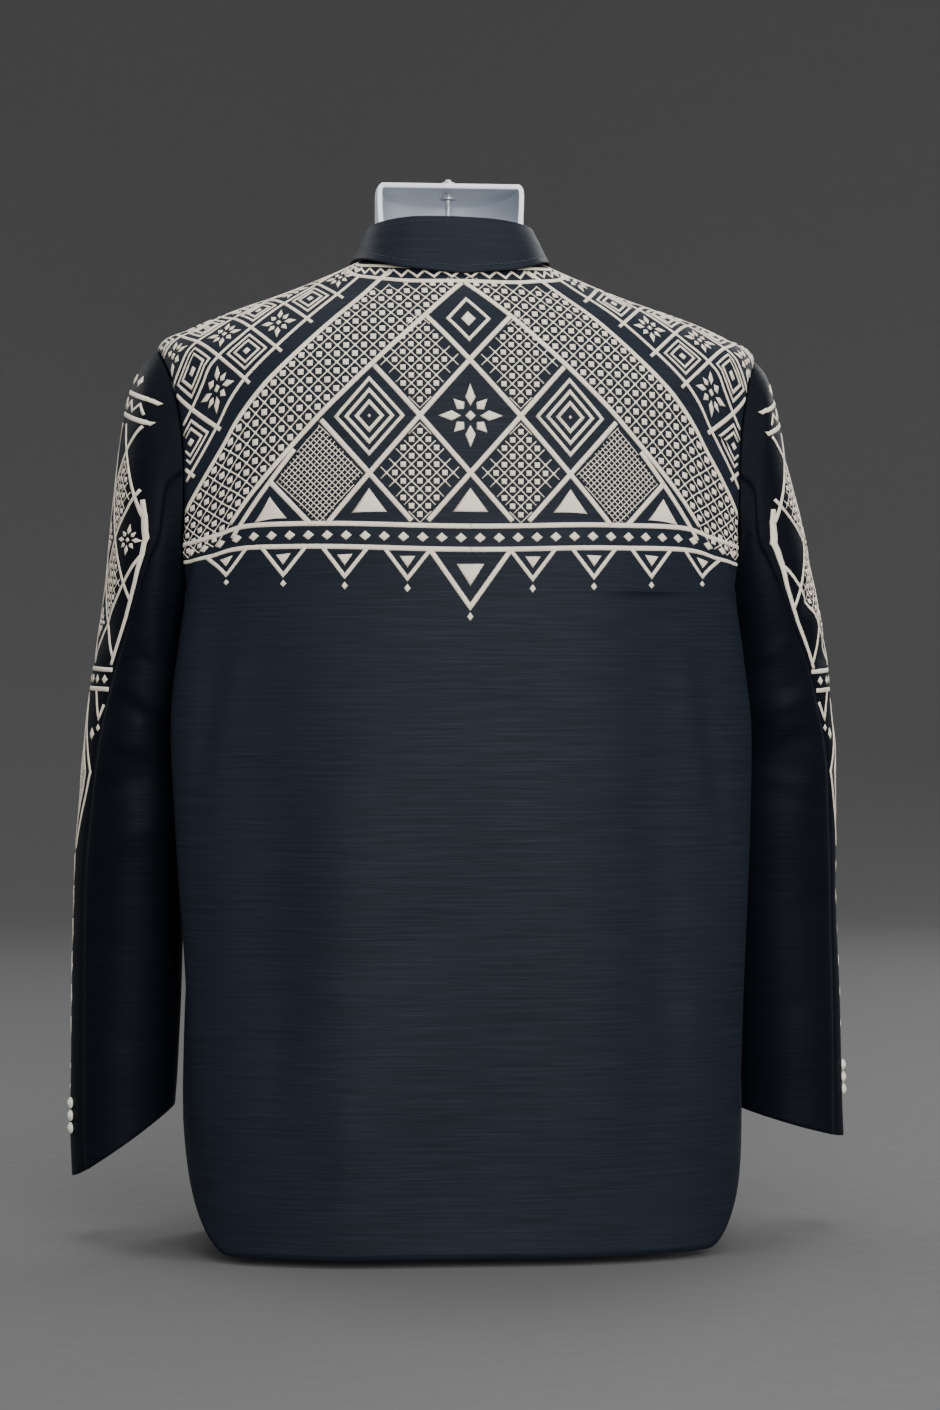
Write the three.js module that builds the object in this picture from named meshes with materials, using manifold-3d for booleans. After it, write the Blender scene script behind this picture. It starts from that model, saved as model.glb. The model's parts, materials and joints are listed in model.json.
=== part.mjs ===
// A barong coat worn by a limbless hollow-backed display torso.
// The coat is cut and sewn from a back, two fronts, two-piece sleeves and a folded collar.
// Millimetres. +X is the wearer's left, +Y the back, +Z up, and the torso stands on Z = 0.
import * as THREE from "three";
import { mergeVertices } from "three/addons/utils/BufferGeometryUtils.js";
import Module from "manifold-3d";

// Cloth, seams and the clearance over the torso
const CLOTH = 1.6;
const SEAM = 0.3;
const VALLEY_GAP = 0.35;
const REST_GAP = 0.5;

// Grid steps of the panels
const SKIRT_STEPS = 12;
const ARMHOLE_STEPS = 12;
const SHOULDER_STEPS = 7;
const HALF_STEPS = 12;
const COLUMN_CROWDING = 0.75;
const QUARTER_SAMPLES = 80;
const COLLAR_STEPS = 12;
const STAND_STEPS = 2;
const COLLAR_SEAM = 1.1;

// Small steps that slopes and normals are measured over, and the tolerance that points are joined at
const ROW_PROBE = 0.03;
const SHARE_PROBE = 0.05;
const COLLAR_PROBE = 0.01;
const MERGE_TOLERANCE = 1e-4;

// Armhole, front overlap and the fullness of the back behind the arms
const ARMHOLE_SPREAD = 62;
const OVERLAP = 15;
const UNDERLAP_DROP = 2.4;
const UNDERLAP_FROM = 20;
const UNDERLAP_TO = 60;
const DRAPE_Y = 58;
const DRAPE_WIDTH_FRONT = 19;
const DRAPE_WIDTH_BACK = 30;
const SWAY = -4;
const HEM_LIFT_FROM = 0.66;
const HEM_LIFT_TO = 0.98;
const FOLD_FADE_IN = 0.3;
const FOLD_FADE_OUT = 0.4;

// The neck and collar lean to the wearer's left above the shoulders
const LEAN = 8;
const LEAN_FROM_Z = 690;
const LEAN_TO_Z = 785;
const SHOULDER_TILT = 0.007;
const TILT_FROM_Z = 560;
const TILT_TO_Z = 720;

// Sleeve seams, as steps up from the armpit on the loop of the armhole, the steps of the loop where
// the sleeve's head takes the shoulder's slope, and the sections over which the loop's spacing gives way
const BACK_SEAM_STEP = 6;
const FRONT_SEAM_STEP = 2;
const VALLEY_STEP = 2;
const HEAD_FROM_STEP = 3;
const TIP_STEPS = 4;
const HOLD_SECTIONS = 4;

// Torso: its wall, the plane that its back is cut off at, its neck and the domes that close its armholes
const TORSO_WALL = 3.6;
const TORSO_BACK_Y = 40;
const TORSO_TOP_Z = 808;
const NECK_BOXY = 2.4;
const CHEST_EASE = 5.5;
const SHOULDER_SHARE = 0.97;
const DOME_STEPS = 4;
const DOME_BULGE = 7;
const TORSO_SKIRT_ROWS = [0, 0.25, 0.5, 0.75, 0.9, 1];
const CUTTER = 1000;

// Hanger stud through the top of the neck, and its nuts
const STUD_Y = 15;
const STUD_RADIUS = 2.5;
const STUD_RISE = 7;
const STUD_DROP = 23;
const STUD_GAP = 0.3;
const NUT_RADIUS = 5.2;
const NUT_HEIGHT = 4.6;
const FLANGE_RADIUS = 6.6;
const FLANGE_HEIGHT = 1.4;
const HEX_SIDES = 6;
const ROUND_SIDES = 16;

// Buttons, and a height over the cloth from which each is brought down onto it
const SEAT_FROM = 300;
const FRONT_BUTTON_RADIUS = 5.5;
const FRONT_BUTTONS = 6;
const FRONT_BUTTON_TOP_Z = 664;
const FRONT_BUTTON_PITCH = 98;
const CUFF_BUTTON_RADIUS = 4.4;
const CUFF_BUTTONS = 3;
const CUFF_BUTTON_PITCH = 9.6;
const CUFF_BUTTON_RISE = 46;
const CUFF_BUTTON_TURN = 20;
const BUTTON_DEPTH = 0.8;
const BUTTON_SIDES = 12;

function table(columns, rows) {
  const names = columns.split(" ");
  return rows.map((row) => Object.fromEntries(row.map((value, i) => [names[i], value])));
}

// Sections of the coat's body from the hem, row 0, past the armpit, row 1, and the shoulder tip, row 2,
// to the neck, row 3.
const BODY = table("row sideX sideY sideZ backY backZ frontY frontZ boxy drape", [
  [0.0, 214, -4, 98, 108, 6, -114, 6, 2.8, 2],
  [0.1, 214, -4, 128, 109, 55, -115, 55, 2.8, 3],
  [0.25, 212, -4, 184, 111, 132, -117, 132, 2.8, 8],
  [0.4, 208, -4, 244, 113, 218, -119, 218, 2.75, 16],
  [0.6, 205, -4, 325, 115, 318, -122, 318, 2.7, 25],
  [0.78, 204, -3, 398, 117, 398, -125, 398, 2.65, 28],
  [0.9, 203, -2, 455, 119, 455, -126, 455, 2.6, 22],
  [1.0, 203, 0, 497, 120, 497, -126, 497, 2.55, 17],
  [1.25, 207, 1, 543, 121, 527, -125, 525, 2.5, 15],
  [1.5, 214, 2, 590, 121, 556, -122, 553, 2.4, 16],
  [1.75, 221, 3, 638, 120.5, 585, -117, 580, 2.3, 9],
  [2.0, 229, 3, 682, 119, 614, -110, 603, 2.2, 0],
  [2.2, 204, 3, 698, 116, 650, -102, 628, 2.15, 0],
  [2.45, 168, 2, 713, 106, 688, -91, 652, 2.1, 0],
  [2.7, 124, 1, 728.5, 92, 718, -80, 670, 2.05, 0],
  [2.88, 90, -1, 742, 77, 737, -72, 680, 2.3, 0],
  [3.0, 69, -2, 752, 64, 748, -66, 686, 2.6, 0],
]);

// Soft folds of the body: where each lies across the panel, how wide and deep it is, and the rows
// it runs between.
const FOLDS = table("back x width depth low high", [
  [1, 150, 26, -3.4, 0.1, 1.0],
  [1, 96, 30, 2.4, -0.2, 0.8],
  [1, -140, 24, -3, 0.0, 1.1],
  [1, -84, 34, 2.2, -0.2, 0.7],
  [1, 10, 40, -1.8, -0.2, 0.6],
  [0, 138, 26, -3.2, -0.1, 1.0],
  [0, 84, 30, 2.4, -0.2, 0.8],
  [0, -130, 26, -3.2, 0.0, 1.1],
  [0, -76, 30, 2.2, -0.2, 0.7],
]);

// Sections of the sleeves: the outer and inner edge seen from behind, the middle and half depth along Y,
// and the turn of the back and front seams from the outer edge, in degrees.
const SLEEVE_COLUMNS = "outX outZ inX inZ y depth seamBack seamFront";
const SLEEVE_LEFT = table(SLEEVE_COLUMNS, [
  [241, 671, 204.6, 490.5, 0, 62, 112, -148],
  [250.5, 650, 206, 484, -2, 63, 108, -146],
  [256, 624, 207, 476, -5, 65, 102, -144],
  [261, 590, 208, 466, -9, 67, 93, -142],
  [266, 550, 208.6, 451, -14, 68, 84, -140],
  [270, 505, 209, 431, -20, 68, 73, -138],
  [276, 462, 208.6, 406, -26, 67, 60, -136],
  [282, 424, 208, 379, -30, 65, 51, -135],
  [286.5, 384, 207.6, 348, -33, 63, 44, -134],
  [290, 340, 208, 312, -36, 60, 39, -133],
  [293.5, 292, 209, 272, -38, 57, 37, -132],
  [295, 240, 210.5, 230, -39, 54, 37, -131],
  [295.5, 186, 212, 188, -40, 51, 38, -130],
  [296.5, 136, 214, 152, -41, 49, 40, -129],
  [297.5, 90, 215.5, 124, -42, 47, 43, -128],
  [296, 50, 217, 104, -42, 46, 46, -128],
]);
const SLEEVE_RIGHT = table(SLEEVE_COLUMNS, [
  [238.5, 670, 204.6, 490.5, 0, 62, 114, -148],
  [245, 649, 206, 484, -2, 63, 110, -146],
  [252, 621, 207, 476, -5, 64, 103, -144],
  [260, 588, 208, 466, -9, 65, 94, -142],
  [271, 551, 209, 451, -14, 66, 87, -140],
  [281, 507, 210, 431, -20, 65, 78, -138],
  [291, 462, 210, 406, -26, 63, 65, -136],
  [296, 420, 210, 379, -30, 61, 53, -135],
  [300.5, 380, 210, 348, -33, 59, 45, -134],
  [301.5, 336, 210.5, 312, -36, 57, 39, -133],
  [302.5, 290, 212, 274, -38, 55, 37, -132],
  [303.5, 240, 214, 236, -39, 53, 37, -131],
  [305.5, 190, 217, 198, -40, 51, 38, -130],
  [307, 146, 220, 162, -41, 49, 40, -129],
  [308.5, 108, 222, 128, -42, 47, 43, -128],
  [310, 74, 224, 98, -42, 46, 46, -128],
]);

// Creases across the elbows: where each is centred round and up the sleeve, its reach and its depth.
const ELBOW_CREASES = table("turn z slope reach width depth", [
  [120, 372, 0.35, 62, 17, -4.2],
  [112, 408, 0.3, 55, 18, 2.8],
  [126, 330, -0.3, 55, 18, 2.4],
  [-112, 392, -0.3, 60, 18, -3.6],
  [-118, 350, 0.25, 55, 18, 2.6],
]);

// Collar from the centre back to the front end: its fold line and its outer edge.
const COLLAR = table("foldX foldY foldZ edgeX edgeY edgeZ", [
  [0, 66, 777, 0, 84, 735],
  [34, 61, 776.5, 43, 77, 739.5],
  [59, 38, 774, 67, 52, 748],
  [61.5, 2, 769, 77, 6, 752],
  [56, -32, 759, 77, -36, 738],
  [34, -55, 740, 63, -72, 702],
  [5, -66, 720, 34, -99, 652],
]);

// Rows of the turned-down fall: out from the fold line, above it, and the share of the way to the outer edge.
const FALL = table("out rise down", [
  [-0.9, 2.2, 0],
  [1.5, 1.7, 0],
  [2.9, -0.8, 0],
  [3.6, -1, 0.33],
  [2.6, 0, 0.67],
  [0, 0, 1],
]);
const COLLAR_FRONT_SHARE = 0.12;

// Rings of the torso's neck above the shoulders.
const NECK = table("sideX sideY sideZ backY backZ frontY frontZ", [
  [61, 6, 748, 60, 741, -53, 675],
  [57.5, 14, 763, 75, 762, -53, 720],
  [56.3, 20, 780, 85, 780, -53, 760],
  [56.3, 24, 793, 90, 793, -52, 788],
  [56, 24, 804, 90, 804, -51, 803],
  [53, 24, TORSO_TOP_Z, 88, TORSO_TOP_Z, -48, TORSO_TOP_Z],
]);

// How far in the torso's rings are drawn below the chest.
const TORSO_SLIM = table("row width depth", [
  [0, 0.7, 0.78],
  [0.3, 0.69, 0.77],
  [0.6, 0.72, 0.8],
  [0.85, 0.84, 0.9],
  [1.1, 0.94, 0.96],
  [1.4, 0.975, 0.985],
  [1.8, 0.965, 1],
  [2, 0.965, 1],
  [2.3, 0.985, 1],
  [2.5, 1, 1],
  [3, 1, 1],
]);

const clamp01 = (x) => Math.min(1, Math.max(0, x));
const mix = (a, b, t) => a + (b - a) * t;
const radians = THREE.MathUtils.degToRad;

function smooth(from, to, x) {
  const t = clamp01((x - from) / (to - from));
  return t * t * (3 - 2 * t);
}

function hump(x, width) {
  return Math.exp(-((x / width) ** 2));
}

// A table's values at a fractional index, on a smooth curve through its rows.
function tableAt(rows, index) {
  const i = Math.min(rows.length - 2, Math.max(0, Math.floor(index)));
  const t = index - i;
  const [a, b, c, d] = [i - 1, i, i + 1, i + 2].map((k) => rows[Math.min(rows.length - 1, Math.max(0, k))]);
  const made = {};
  for (const key of Object.keys(b)) {
    const rise = (c[key] - a[key]) / 2;
    const fall = (d[key] - b[key]) / 2;
    const s = t * t;
    const u = s * t;
    made[key] = mix(b[key], c[key], 3 * s - 2 * u) + (u - 2 * s + t) * rise + (u - s) * fall;
  }
  return made;
}

function tableAtRow(rows, row) {
  let i = 0;
  while (i < rows.length - 2 && rows[i + 1].row < row) i++;
  return tableAt(rows, i + clamp01((row - rows[i].row) / (rows[i + 1].row - rows[i].row)));
}

// The section of the body at a row. Between the armpit and the shoulder tip, it is cut away
// at the round armhole.
function bodySection(row) {
  const angle = Math.PI * clamp01(row - 1);
  const rise = row > 1 && row < 2 ? 1 + (1 - Math.cos(angle)) / 2 : row;
  return { ...tableAtRow(BODY, rise), row, spread: ARMHOLE_SPREAD * Math.sin(angle) };
}

// Points along one quarter of a section, from the centre line, share 0, to the side edge or
// the armhole, share 1.
function quarter(section, back, plain) {
  const power = 2 / section.boxy;
  const [centreY, centreZ] = back ? [section.backY, section.backZ] : [section.frontY, section.frontZ];
  const points = [];
  const lengths = [0];
  for (let i = 0; i <= QUARTER_SAMPLES; i++) {
    const angle = (Math.PI * i) / (2 * QUARTER_SAMPLES);
    let x = section.sideX * Math.sin(angle) ** power;
    const y = mix(section.sideY, centreY, Math.max(0, Math.cos(angle)) ** power);
    const drapeWidth = y < DRAPE_Y ? DRAPE_WIDTH_FRONT : DRAPE_WIDTH_BACK;
    if (back && !plain) x += section.drape * hump(y - DRAPE_Y, drapeWidth);
    points.push([x, y]);
    if (i) lengths.push(lengths[i - 1] + Math.hypot(x - points[i - 1][0], y - points[i - 1][1]));
  }
  const whole = lengths[QUARTER_SAMPLES];
  const cutAngle = Math.acos((section.spread / Math.abs(centreY - section.sideY)) ** (1 / power));
  const cut = (2 * QUARTER_SAMPLES * cutAngle) / Math.PI;
  const before = Math.min(QUARTER_SAMPLES - 1, Math.floor(cut));
  const total = mix(lengths[before], lengths[before + 1], cut - before);
  return (share) => {
    const away = Math.abs(share) * total;
    let i = 0;
    while (i < QUARTER_SAMPLES - 1 && lengths[i + 1] < away) i++;
    const t = (away - lengths[i]) / (lengths[i + 1] - lengths[i]);
    const [x, y] = [0, 1].map((k) => mix(points[i][k], points[i + 1][k], t));
    const round = away / whole;
    const lift = section.row < 1 ? smooth(HEM_LIFT_FROM, HEM_LIFT_TO, round) : smooth(0, 1, round);
    return { x: share < 0 ? -x : x, y, z: mix(centreZ, section.sideZ, lift), total };
  };
}

// Moves a point sideways with the lean of the neck.
function lean(point) {
  point.x += LEAN * smooth(LEAN_FROM_Z, LEAN_TO_Z, point.z);
  return point;
}

// Lowers the right shoulder and raises the left one, with the lean.
function settle(point) {
  point.z += SHOULDER_TILT * point.x * smooth(TILT_FROM_Z, TILT_TO_Z, point.z);
  return lean(point);
}

// A point of the coat's body. Side is 1 for the wearer's left and -1 for the right.
function bodyPoint(row, back, share, side, plain = false) {
  const section = bodySection(row);
  const p = quarter(section, back, plain)(share);
  const point = new THREE.Vector3(p.x * side, p.y, p.z);
  if (plain) return settle(point);
  for (const fold of FOLDS) {
    if (Boolean(fold.back) !== back) continue;
    const begun = smooth(fold.low, fold.low + FOLD_FADE_IN, row);
    const left = 1 - smooth(fold.high - FOLD_FADE_OUT, fold.high, row);
    point.y += (back ? 1 : -1) * fold.depth * begun * left * hump(point.x - fold.x, fold.width);
  }
  point.x += SWAY * (1 - smooth(0, 1, row));
  return settle(point);
}

// The outward normal of one panel of the body at its side edge.
function panelNormal(row, back, side) {
  let [low, high] = [1, 2];
  if (row <= 1) [low, high] = [0, 1];
  if (row >= 2) [low, high] = [2, 3];
  const along = bodyPoint(row, back, 1, side).sub(bodyPoint(row, back, 1 - SHARE_PROBE, side));
  const below = bodyPoint(Math.max(low, row - ROW_PROBE), back, 1, side);
  const above = bodyPoint(Math.min(high, row + ROW_PROBE), back, 1, side);
  return along.cross(above.sub(below)).multiplyScalar(back ? -side : side).normalize();
}

// The normal that both panels share at a seam, or a panel's own on the armhole.
function edgeNormal(row, back, side) {
  const own = panelNormal(row, back, side);
  if (row > 1 && row < 2) return own;
  return own.add(panelNormal(row, !back, side)).normalize();
}

// The share of a panel's column, with the columns closer together towards the side.
function columnShare(j, steps) {
  return (j / steps) ** COLUMN_CROWDING;
}

function bodyRows() {
  const rows = [];
  for (let i = 0; i < SKIRT_STEPS; i++) rows.push(i / SKIRT_STEPS);
  for (let i = 0; i < ARMHOLE_STEPS; i++) rows.push(1 + i / ARMHOLE_STEPS);
  for (let i = 0; i <= SHOULDER_STEPS; i++) rows.push(2 + i / SHOULDER_STEPS);
  return rows;
}

// The unit normal of a grid of points at one of them.
function gridNormal(grid, i, j) {
  const rows = grid.length - 1;
  const columns = grid[0].length - 1;
  const up = grid[Math.min(rows, i + 1)][j].clone().sub(grid[Math.max(0, i - 1)][j]);
  const along = grid[i][Math.min(columns, j + 1)].clone().sub(grid[i][Math.max(0, j - 1)]);
  return along.cross(up).normalize();
}

function signedVolume(positions, index) {
  const [a, b, c] = [new THREE.Vector3(), new THREE.Vector3(), new THREE.Vector3()];
  let sum = 0;
  for (let i = 0; i < index.length; i += 3) {
    a.fromArray(positions, index[i] * 3);
    b.fromArray(positions, index[i + 1] * 3);
    c.fromArray(positions, index[i + 2] * 3);
    sum += a.dot(b.cross(c));
  }
  return sum / 6;
}

// A closed geometry from points and faces of 3 or 4 corners, turned so that its faces point out.
function closed(points, faces) {
  const positions = points.flatMap((p) => [p.x, p.y, p.z]);
  const index = [];
  for (const f of faces) {
    index.push(f[0], f[1], f[2]);
    if (f.length === 4) index.push(f[0], f[2], f[3]);
  }
  if (signedVolume(positions, index) < 0) index.reverse();
  return new THREE.BufferGeometry()
    .setAttribute("position", new THREE.Float32BufferAttribute(positions, 3))
    .setIndex(index);
}

// A wall of cloth: a grid of outer points and the same grid moved in by the thickness. Inward is 1 or -1.
function wall(grid, thickness, inward, normals = {}) {
  const [rows, columns] = [grid.length, grid[0].length];
  const outer = [];
  const inner = [];
  for (let i = 0; i < rows; i++) {
    for (let j = 0; j < columns; j++) {
      const normal = normals[`${i},${j}`] ?? gridNormal(grid, i, j).multiplyScalar(-inward);
      outer.push(grid[i][j]);
      inner.push(grid[i][j].clone().addScaledVector(normal, -thickness));
    }
  }
  const at = (i, j) => i * columns + j;
  const shift = rows * columns;
  const faces = [];
  for (let i = 0; i < rows - 1; i++) {
    for (let j = 0; j < columns - 1; j++) {
      faces.push([at(i, j), at(i, j + 1), at(i + 1, j + 1), at(i + 1, j)]);
      faces.push([at(i, j), at(i + 1, j), at(i + 1, j + 1), at(i, j + 1)].map((k) => k + shift));
    }
  }
  const rim = [];
  for (let j = 0; j < columns - 1; j++) rim.push([at(0, j), at(0, j + 1)]);
  for (let i = 0; i < rows - 1; i++) rim.push([at(i, columns - 1), at(i + 1, columns - 1)]);
  for (let j = columns - 1; j > 0; j--) rim.push([at(rows - 1, j), at(rows - 1, j - 1)]);
  for (let i = rows - 1; i > 0; i--) rim.push([at(i, 0), at(i - 1, 0)]);
  for (const [a, b] of rim) faces.push([b, a, a + shift, b + shift]);
  return closed([...outer, ...inner], faces);
}

// Draws the last point of a row of points back along it by a distance.
function trimEnd(points, distance) {
  const last = points.length - 1;
  const step = points[last - 1].clone().sub(points[last]);
  points[last].addScaledVector(step.normalize(), distance);
}

// The back, from side seam to side seam, and up to the neck.
function backWall() {
  const normals = {};
  const grid = bodyRows().map((row, i) => {
    const points = [];
    for (let j = -HALF_STEPS; j <= HALF_STEPS; j++) {
      points.push(bodyPoint(row, true, columnShare(Math.abs(j), HALF_STEPS), Math.sign(j) || 1));
    }
    trimEnd(points, SEAM / 2);
    points.reverse();
    trimEnd(points, SEAM / 2);
    normals[`${i},0`] = edgeNormal(row, true, 1);
    normals[`${i},${2 * HALF_STEPS}`] = edgeNormal(row, true, -1);
    return points;
  });
  return wall(grid, CLOTH, -1, normals);
}

// A front, from its edge past the centre line to the side seam. The right one is drawn in under the left one.
function frontWall(side) {
  const normals = {};
  const under = [];
  const grid = bodyRows().map((row, i) => {
    const total = quarter(bodySection(row), false, false)(1).total;
    const points = [];
    const shares = [];
    for (let j = 0; j <= HALF_STEPS; j++) {
      shares.push(mix(-OVERLAP / total, 1, columnShare(j, HALF_STEPS)));
      points.push(bodyPoint(row, false, shares[j], side));
    }
    const inner = shares.map((_, j) => total * shares[Math.max(0, j - 1)]);
    under.push(inner.map((away) => UNDERLAP_DROP * (1 - smooth(UNDERLAP_FROM, UNDERLAP_TO, away))));
    trimEnd(points, SEAM / 2);
    normals[`${i},${HALF_STEPS}`] = edgeNormal(row, false, side);
    return points;
  });
  if (side < 0) {
    const drops = grid.map((row, i) => row.map((_, j) => gridNormal(grid, i, j)));
    grid.forEach((row, i) => row.forEach((point, j) => point.addScaledVector(drops[i][j], under[i][j])));
  }
  return wall(grid, CLOTH, -side, normals);
}

// The loop of the armhole: up the back from the armpit to the shoulder tip, and down the front.
function armholeLoop(side) {
  const loop = [];
  for (let k = 0; k < 2 * ARMHOLE_STEPS; k++) {
    const back = k <= ARMHOLE_STEPS;
    const step = back ? k : 2 * ARMHOLE_STEPS - k;
    const row = 1 + step / ARMHOLE_STEPS;
    const angle = (180 * (ARMHOLE_STEPS - step)) / ARMHOLE_STEPS;
    loop.push({
      point: bodyPoint(row, back, 1, side),
      normal: edgeNormal(row, back, side),
      angle: back ? angle : -angle,
      step,
    });
  }
  return loop;
}

// A point of a sleeve's section. Angle 0 is the outer edge, 90 the back and 180 the side to the body.
function sleevePoint(section, angle, side) {
  const turn = radians(angle);
  const out = new THREE.Vector3(section.outX, 0, section.outZ);
  const inside = new THREE.Vector3(section.inX, 0, section.inZ);
  const half = out.clone().sub(inside).multiplyScalar(0.5);
  const point = out.add(inside).multiplyScalar(0.5).addScaledVector(half, Math.cos(turn));
  point.y = section.y + section.depth * Math.sin(turn);
  for (const crease of ELBOW_CREASES) {
    const away = angle - crease.turn;
    const line = crease.z + crease.slope * away;
    const push = crease.depth * hump(point.z - line, crease.width) * hump(away, crease.reach);
    point.x += (push * Math.cos(turn)) / 2;
    point.y += push * Math.sin(turn);
  }
  point.x *= side;
  return point;
}

// The normal of a grid whose columns close on themselves.
function loopNormal(grid, i, j) {
  const columns = grid[0].length;
  const up = grid[Math.min(grid.length - 1, i + 1)][j].clone().sub(grid[Math.max(0, i - 1)][j]);
  const along = grid[i][(j + 1) % columns].clone().sub(grid[i][(j + columns - 1) % columns]);
  return along.cross(up).normalize();
}

// The sections of a whole sleeve, round from the armpit past the back, the top and the front,
// with their normals.
function sleeveTube(side) {
  const sections = side > 0 ? SLEEVE_LEFT : SLEEVE_RIGHT;
  const loop = armholeLoop(side);
  const [backSeam, frontSeam] = [BACK_SEAM_STEP, 2 * ARMHOLE_STEPS - FRONT_SEAM_STEP];
  const grid = sections.map((section, i) => {
    const hold = 1 - smooth(0, HOLD_SECTIONS, i + 1);
    return loop.map(({ angle }, k) => {
      const between = (k - backSeam) / (frontSeam - backSeam);
      let even = mix(section.seamFront, -180, (k - frontSeam) / FRONT_SEAM_STEP);
      if (k <= frontSeam) even = mix(section.seamBack, section.seamFront, between);
      if (k <= backSeam) even = mix(180, section.seamBack, k / backSeam);
      return sleevePoint(section, mix(even, angle, hold), side);
    });
  });
  grid.unshift(loop.map(({ point, normal, step }, k) => {
    const [before, after] = [k - 1, k + 1].map((n) => loop[(n + loop.length) % loop.length].point);
    const along = after.clone().sub(before).normalize();
    const away = grid[0][k].clone().sub(point);
    away.addScaledVector(along, -away.dot(along)).normalize();
    const valley = 1 - smooth(VALLEY_STEP, ARMHOLE_STEPS / 2, step);
    const gap = SEAM * (1 + smooth(ARMHOLE_STEPS - TIP_STEPS, ARMHOLE_STEPS - 1, step));
    return point.clone().addScaledVector(away, gap).addScaledVector(normal, VALLEY_GAP * valley);
  }));
  const normals = grid.map((row, i) => row.map((point, k) => {
    const own = loopNormal(grid, i, k).multiplyScalar(side);
    const shared = i ? 0 : smooth(HEAD_FROM_STEP, ARMHOLE_STEPS / 2, loop[k].step);
    return own.lerp(loop[k].normal, shared).normalize();
  }));
  return { grid, normals };
}

// A panel of a sleeve: a run of its columns, drawn in by half a seam at both edges.
function sleevePanel(tube, from, to, side) {
  const whole = tube.grid[0].length;
  const columns = [];
  for (let k = from; k <= to; k++) columns.push((k + whole) % whole);
  const normals = {};
  const grid = tube.grid.map((row, i) => {
    const points = columns.map((k) => row[k].clone());
    trimEnd(points, SEAM / 2);
    points.reverse();
    trimEnd(points, SEAM / 2);
    columns.forEach((k, j) => {
      normals[`${i},${j}`] = tube.normals[i][k];
    });
    return points.reverse();
  });
  return wall(grid, CLOTH, -side, normals);
}

// The collar's fold line and outer edge, and the neckline under it. Place runs from -1 to 1 round the back.
function collarLine(place) {
  const away = Math.abs(place);
  const side = Math.sign(place) || 1;
  const made = tableAt(COLLAR, away * (COLLAR.length - 1));
  const share = away <= 0.5 ? 2 * away : mix(1, COLLAR_FRONT_SHARE, 2 * away - 1);
  return {
    neck: bodyPoint(3, away <= 0.5, share, side, true),
    fold: settle(new THREE.Vector3(side * made.foldX, made.foldY, made.foldZ)),
    edge: settle(new THREE.Vector3(side * made.edgeX, made.edgeY, made.edgeZ)),
  };
}

function collarColumns() {
  const columns = [];
  for (let j = -COLLAR_STEPS; j <= COLLAR_STEPS; j++) {
    const place = j / COLLAR_STEPS;
    const line = collarLine(place);
    const before = collarLine(Math.max(-1, place - COLLAR_PROBE)).fold;
    const step = collarLine(Math.min(1, place + COLLAR_PROBE)).fold.sub(before);
    line.out = new THREE.Vector3(step.y, -step.x, 0).normalize();
    if (line.out.dot(line.edge.clone().sub(line.fold)) < 0) line.out.negate();
    line.up = line.out.clone().cross(step).normalize();
    if (line.up.z < 0) line.up.negate();
    columns.push(line);
  }
  return columns;
}

function collarStand() {
  const columns = collarColumns();
  const grid = [];
  for (let i = 0; i <= STAND_STEPS; i++) {
    grid.push(columns.map(({ neck, fold }) => {
      const foot = neck.clone().addScaledVector(fold.clone().sub(neck).normalize(), COLLAR_SEAM);
      return foot.lerp(fold, i / STAND_STEPS);
    }));
  }
  return wall(grid, CLOTH, 1);
}

// The turned-down fall: it bends over the stand's top edge and lies clear of the shoulders.
function collarFall() {
  const columns = collarColumns();
  const grid = FALL.map(({ out, rise, down }) => columns.map((line) => {
    const point = line.fold.clone().addScaledVector(line.out, out).addScaledVector(line.up, rise);
    return point.lerp(line.edge, down);
  }));
  return wall(grid, CLOTH, -1);
}

const wasm = await Module();
wasm.setup();

function toSolid(geometry) {
  const bare = geometry.clone();
  bare.deleteAttribute("normal");
  bare.deleteAttribute("uv");
  const merged = mergeVertices(bare, MERGE_TOLERANCE);
  return new wasm.Manifold(
    new wasm.Mesh({
      numProp: 3,
      vertProperties: new Float32Array(merged.attributes.position.array),
      triVerts: new Uint32Array(merged.index.array),
    }),
  );
}

function toGeometry(solid) {
  const mesh = solid.getMesh();
  return new THREE.BufferGeometry()
    .setAttribute("position", new THREE.BufferAttribute(new Float32Array(mesh.vertProperties), 3))
    .setIndex(new THREE.BufferAttribute(new Uint32Array(mesh.triVerts), 1));
}

// One ring of the torso from half rings of back, dome and front points, left and right.
function ringFrom(halfPoint, domePoint) {
  const ring = [];
  const steps = HALF_STEPS / 2;
  const half = (side) => {
    const points = [];
    for (let j = 1; j <= steps; j++) points.push(halfPoint(true, columnShare(j, steps), side));
    for (let j = 1; j < DOME_STEPS; j++) points.push(domePoint(j / DOME_STEPS, side));
    for (let j = steps; j >= 1; j--) points.push(halfPoint(false, columnShare(j, steps), side));
    return points;
  };
  ring.push(halfPoint(true, 0, 1), ...half(1), halfPoint(false, 0, 1), ...half(-1).reverse());
  return ring;
}

// A ring of the torso under the coat, drawn in below the chest, with its armholes closed by low domes.
function torsoRing(row) {
  const slim = tableAtRow(TORSO_SLIM, row);
  const point = (back, share, side) => {
    const made = bodyPoint(row, back, share * (share === 1 ? SHOULDER_SHARE : 1), side, true);
    made.x *= slim.width;
    made.y *= slim.depth;
    if (row < 1) made.z = bodySection(1).sideZ * row;
    return made;
  };
  const bulge = row > 1 && row < 2 ? DOME_BULGE * Math.sin(Math.PI * (row - 1)) : 0;
  const dome = (t, side) => {
    const made = point(true, 1, side).lerp(point(false, 1, side), t);
    made.x += side * bulge * Math.sin(Math.PI * t);
    return made;
  };
  return ringFrom(point, dome);
}

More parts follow.
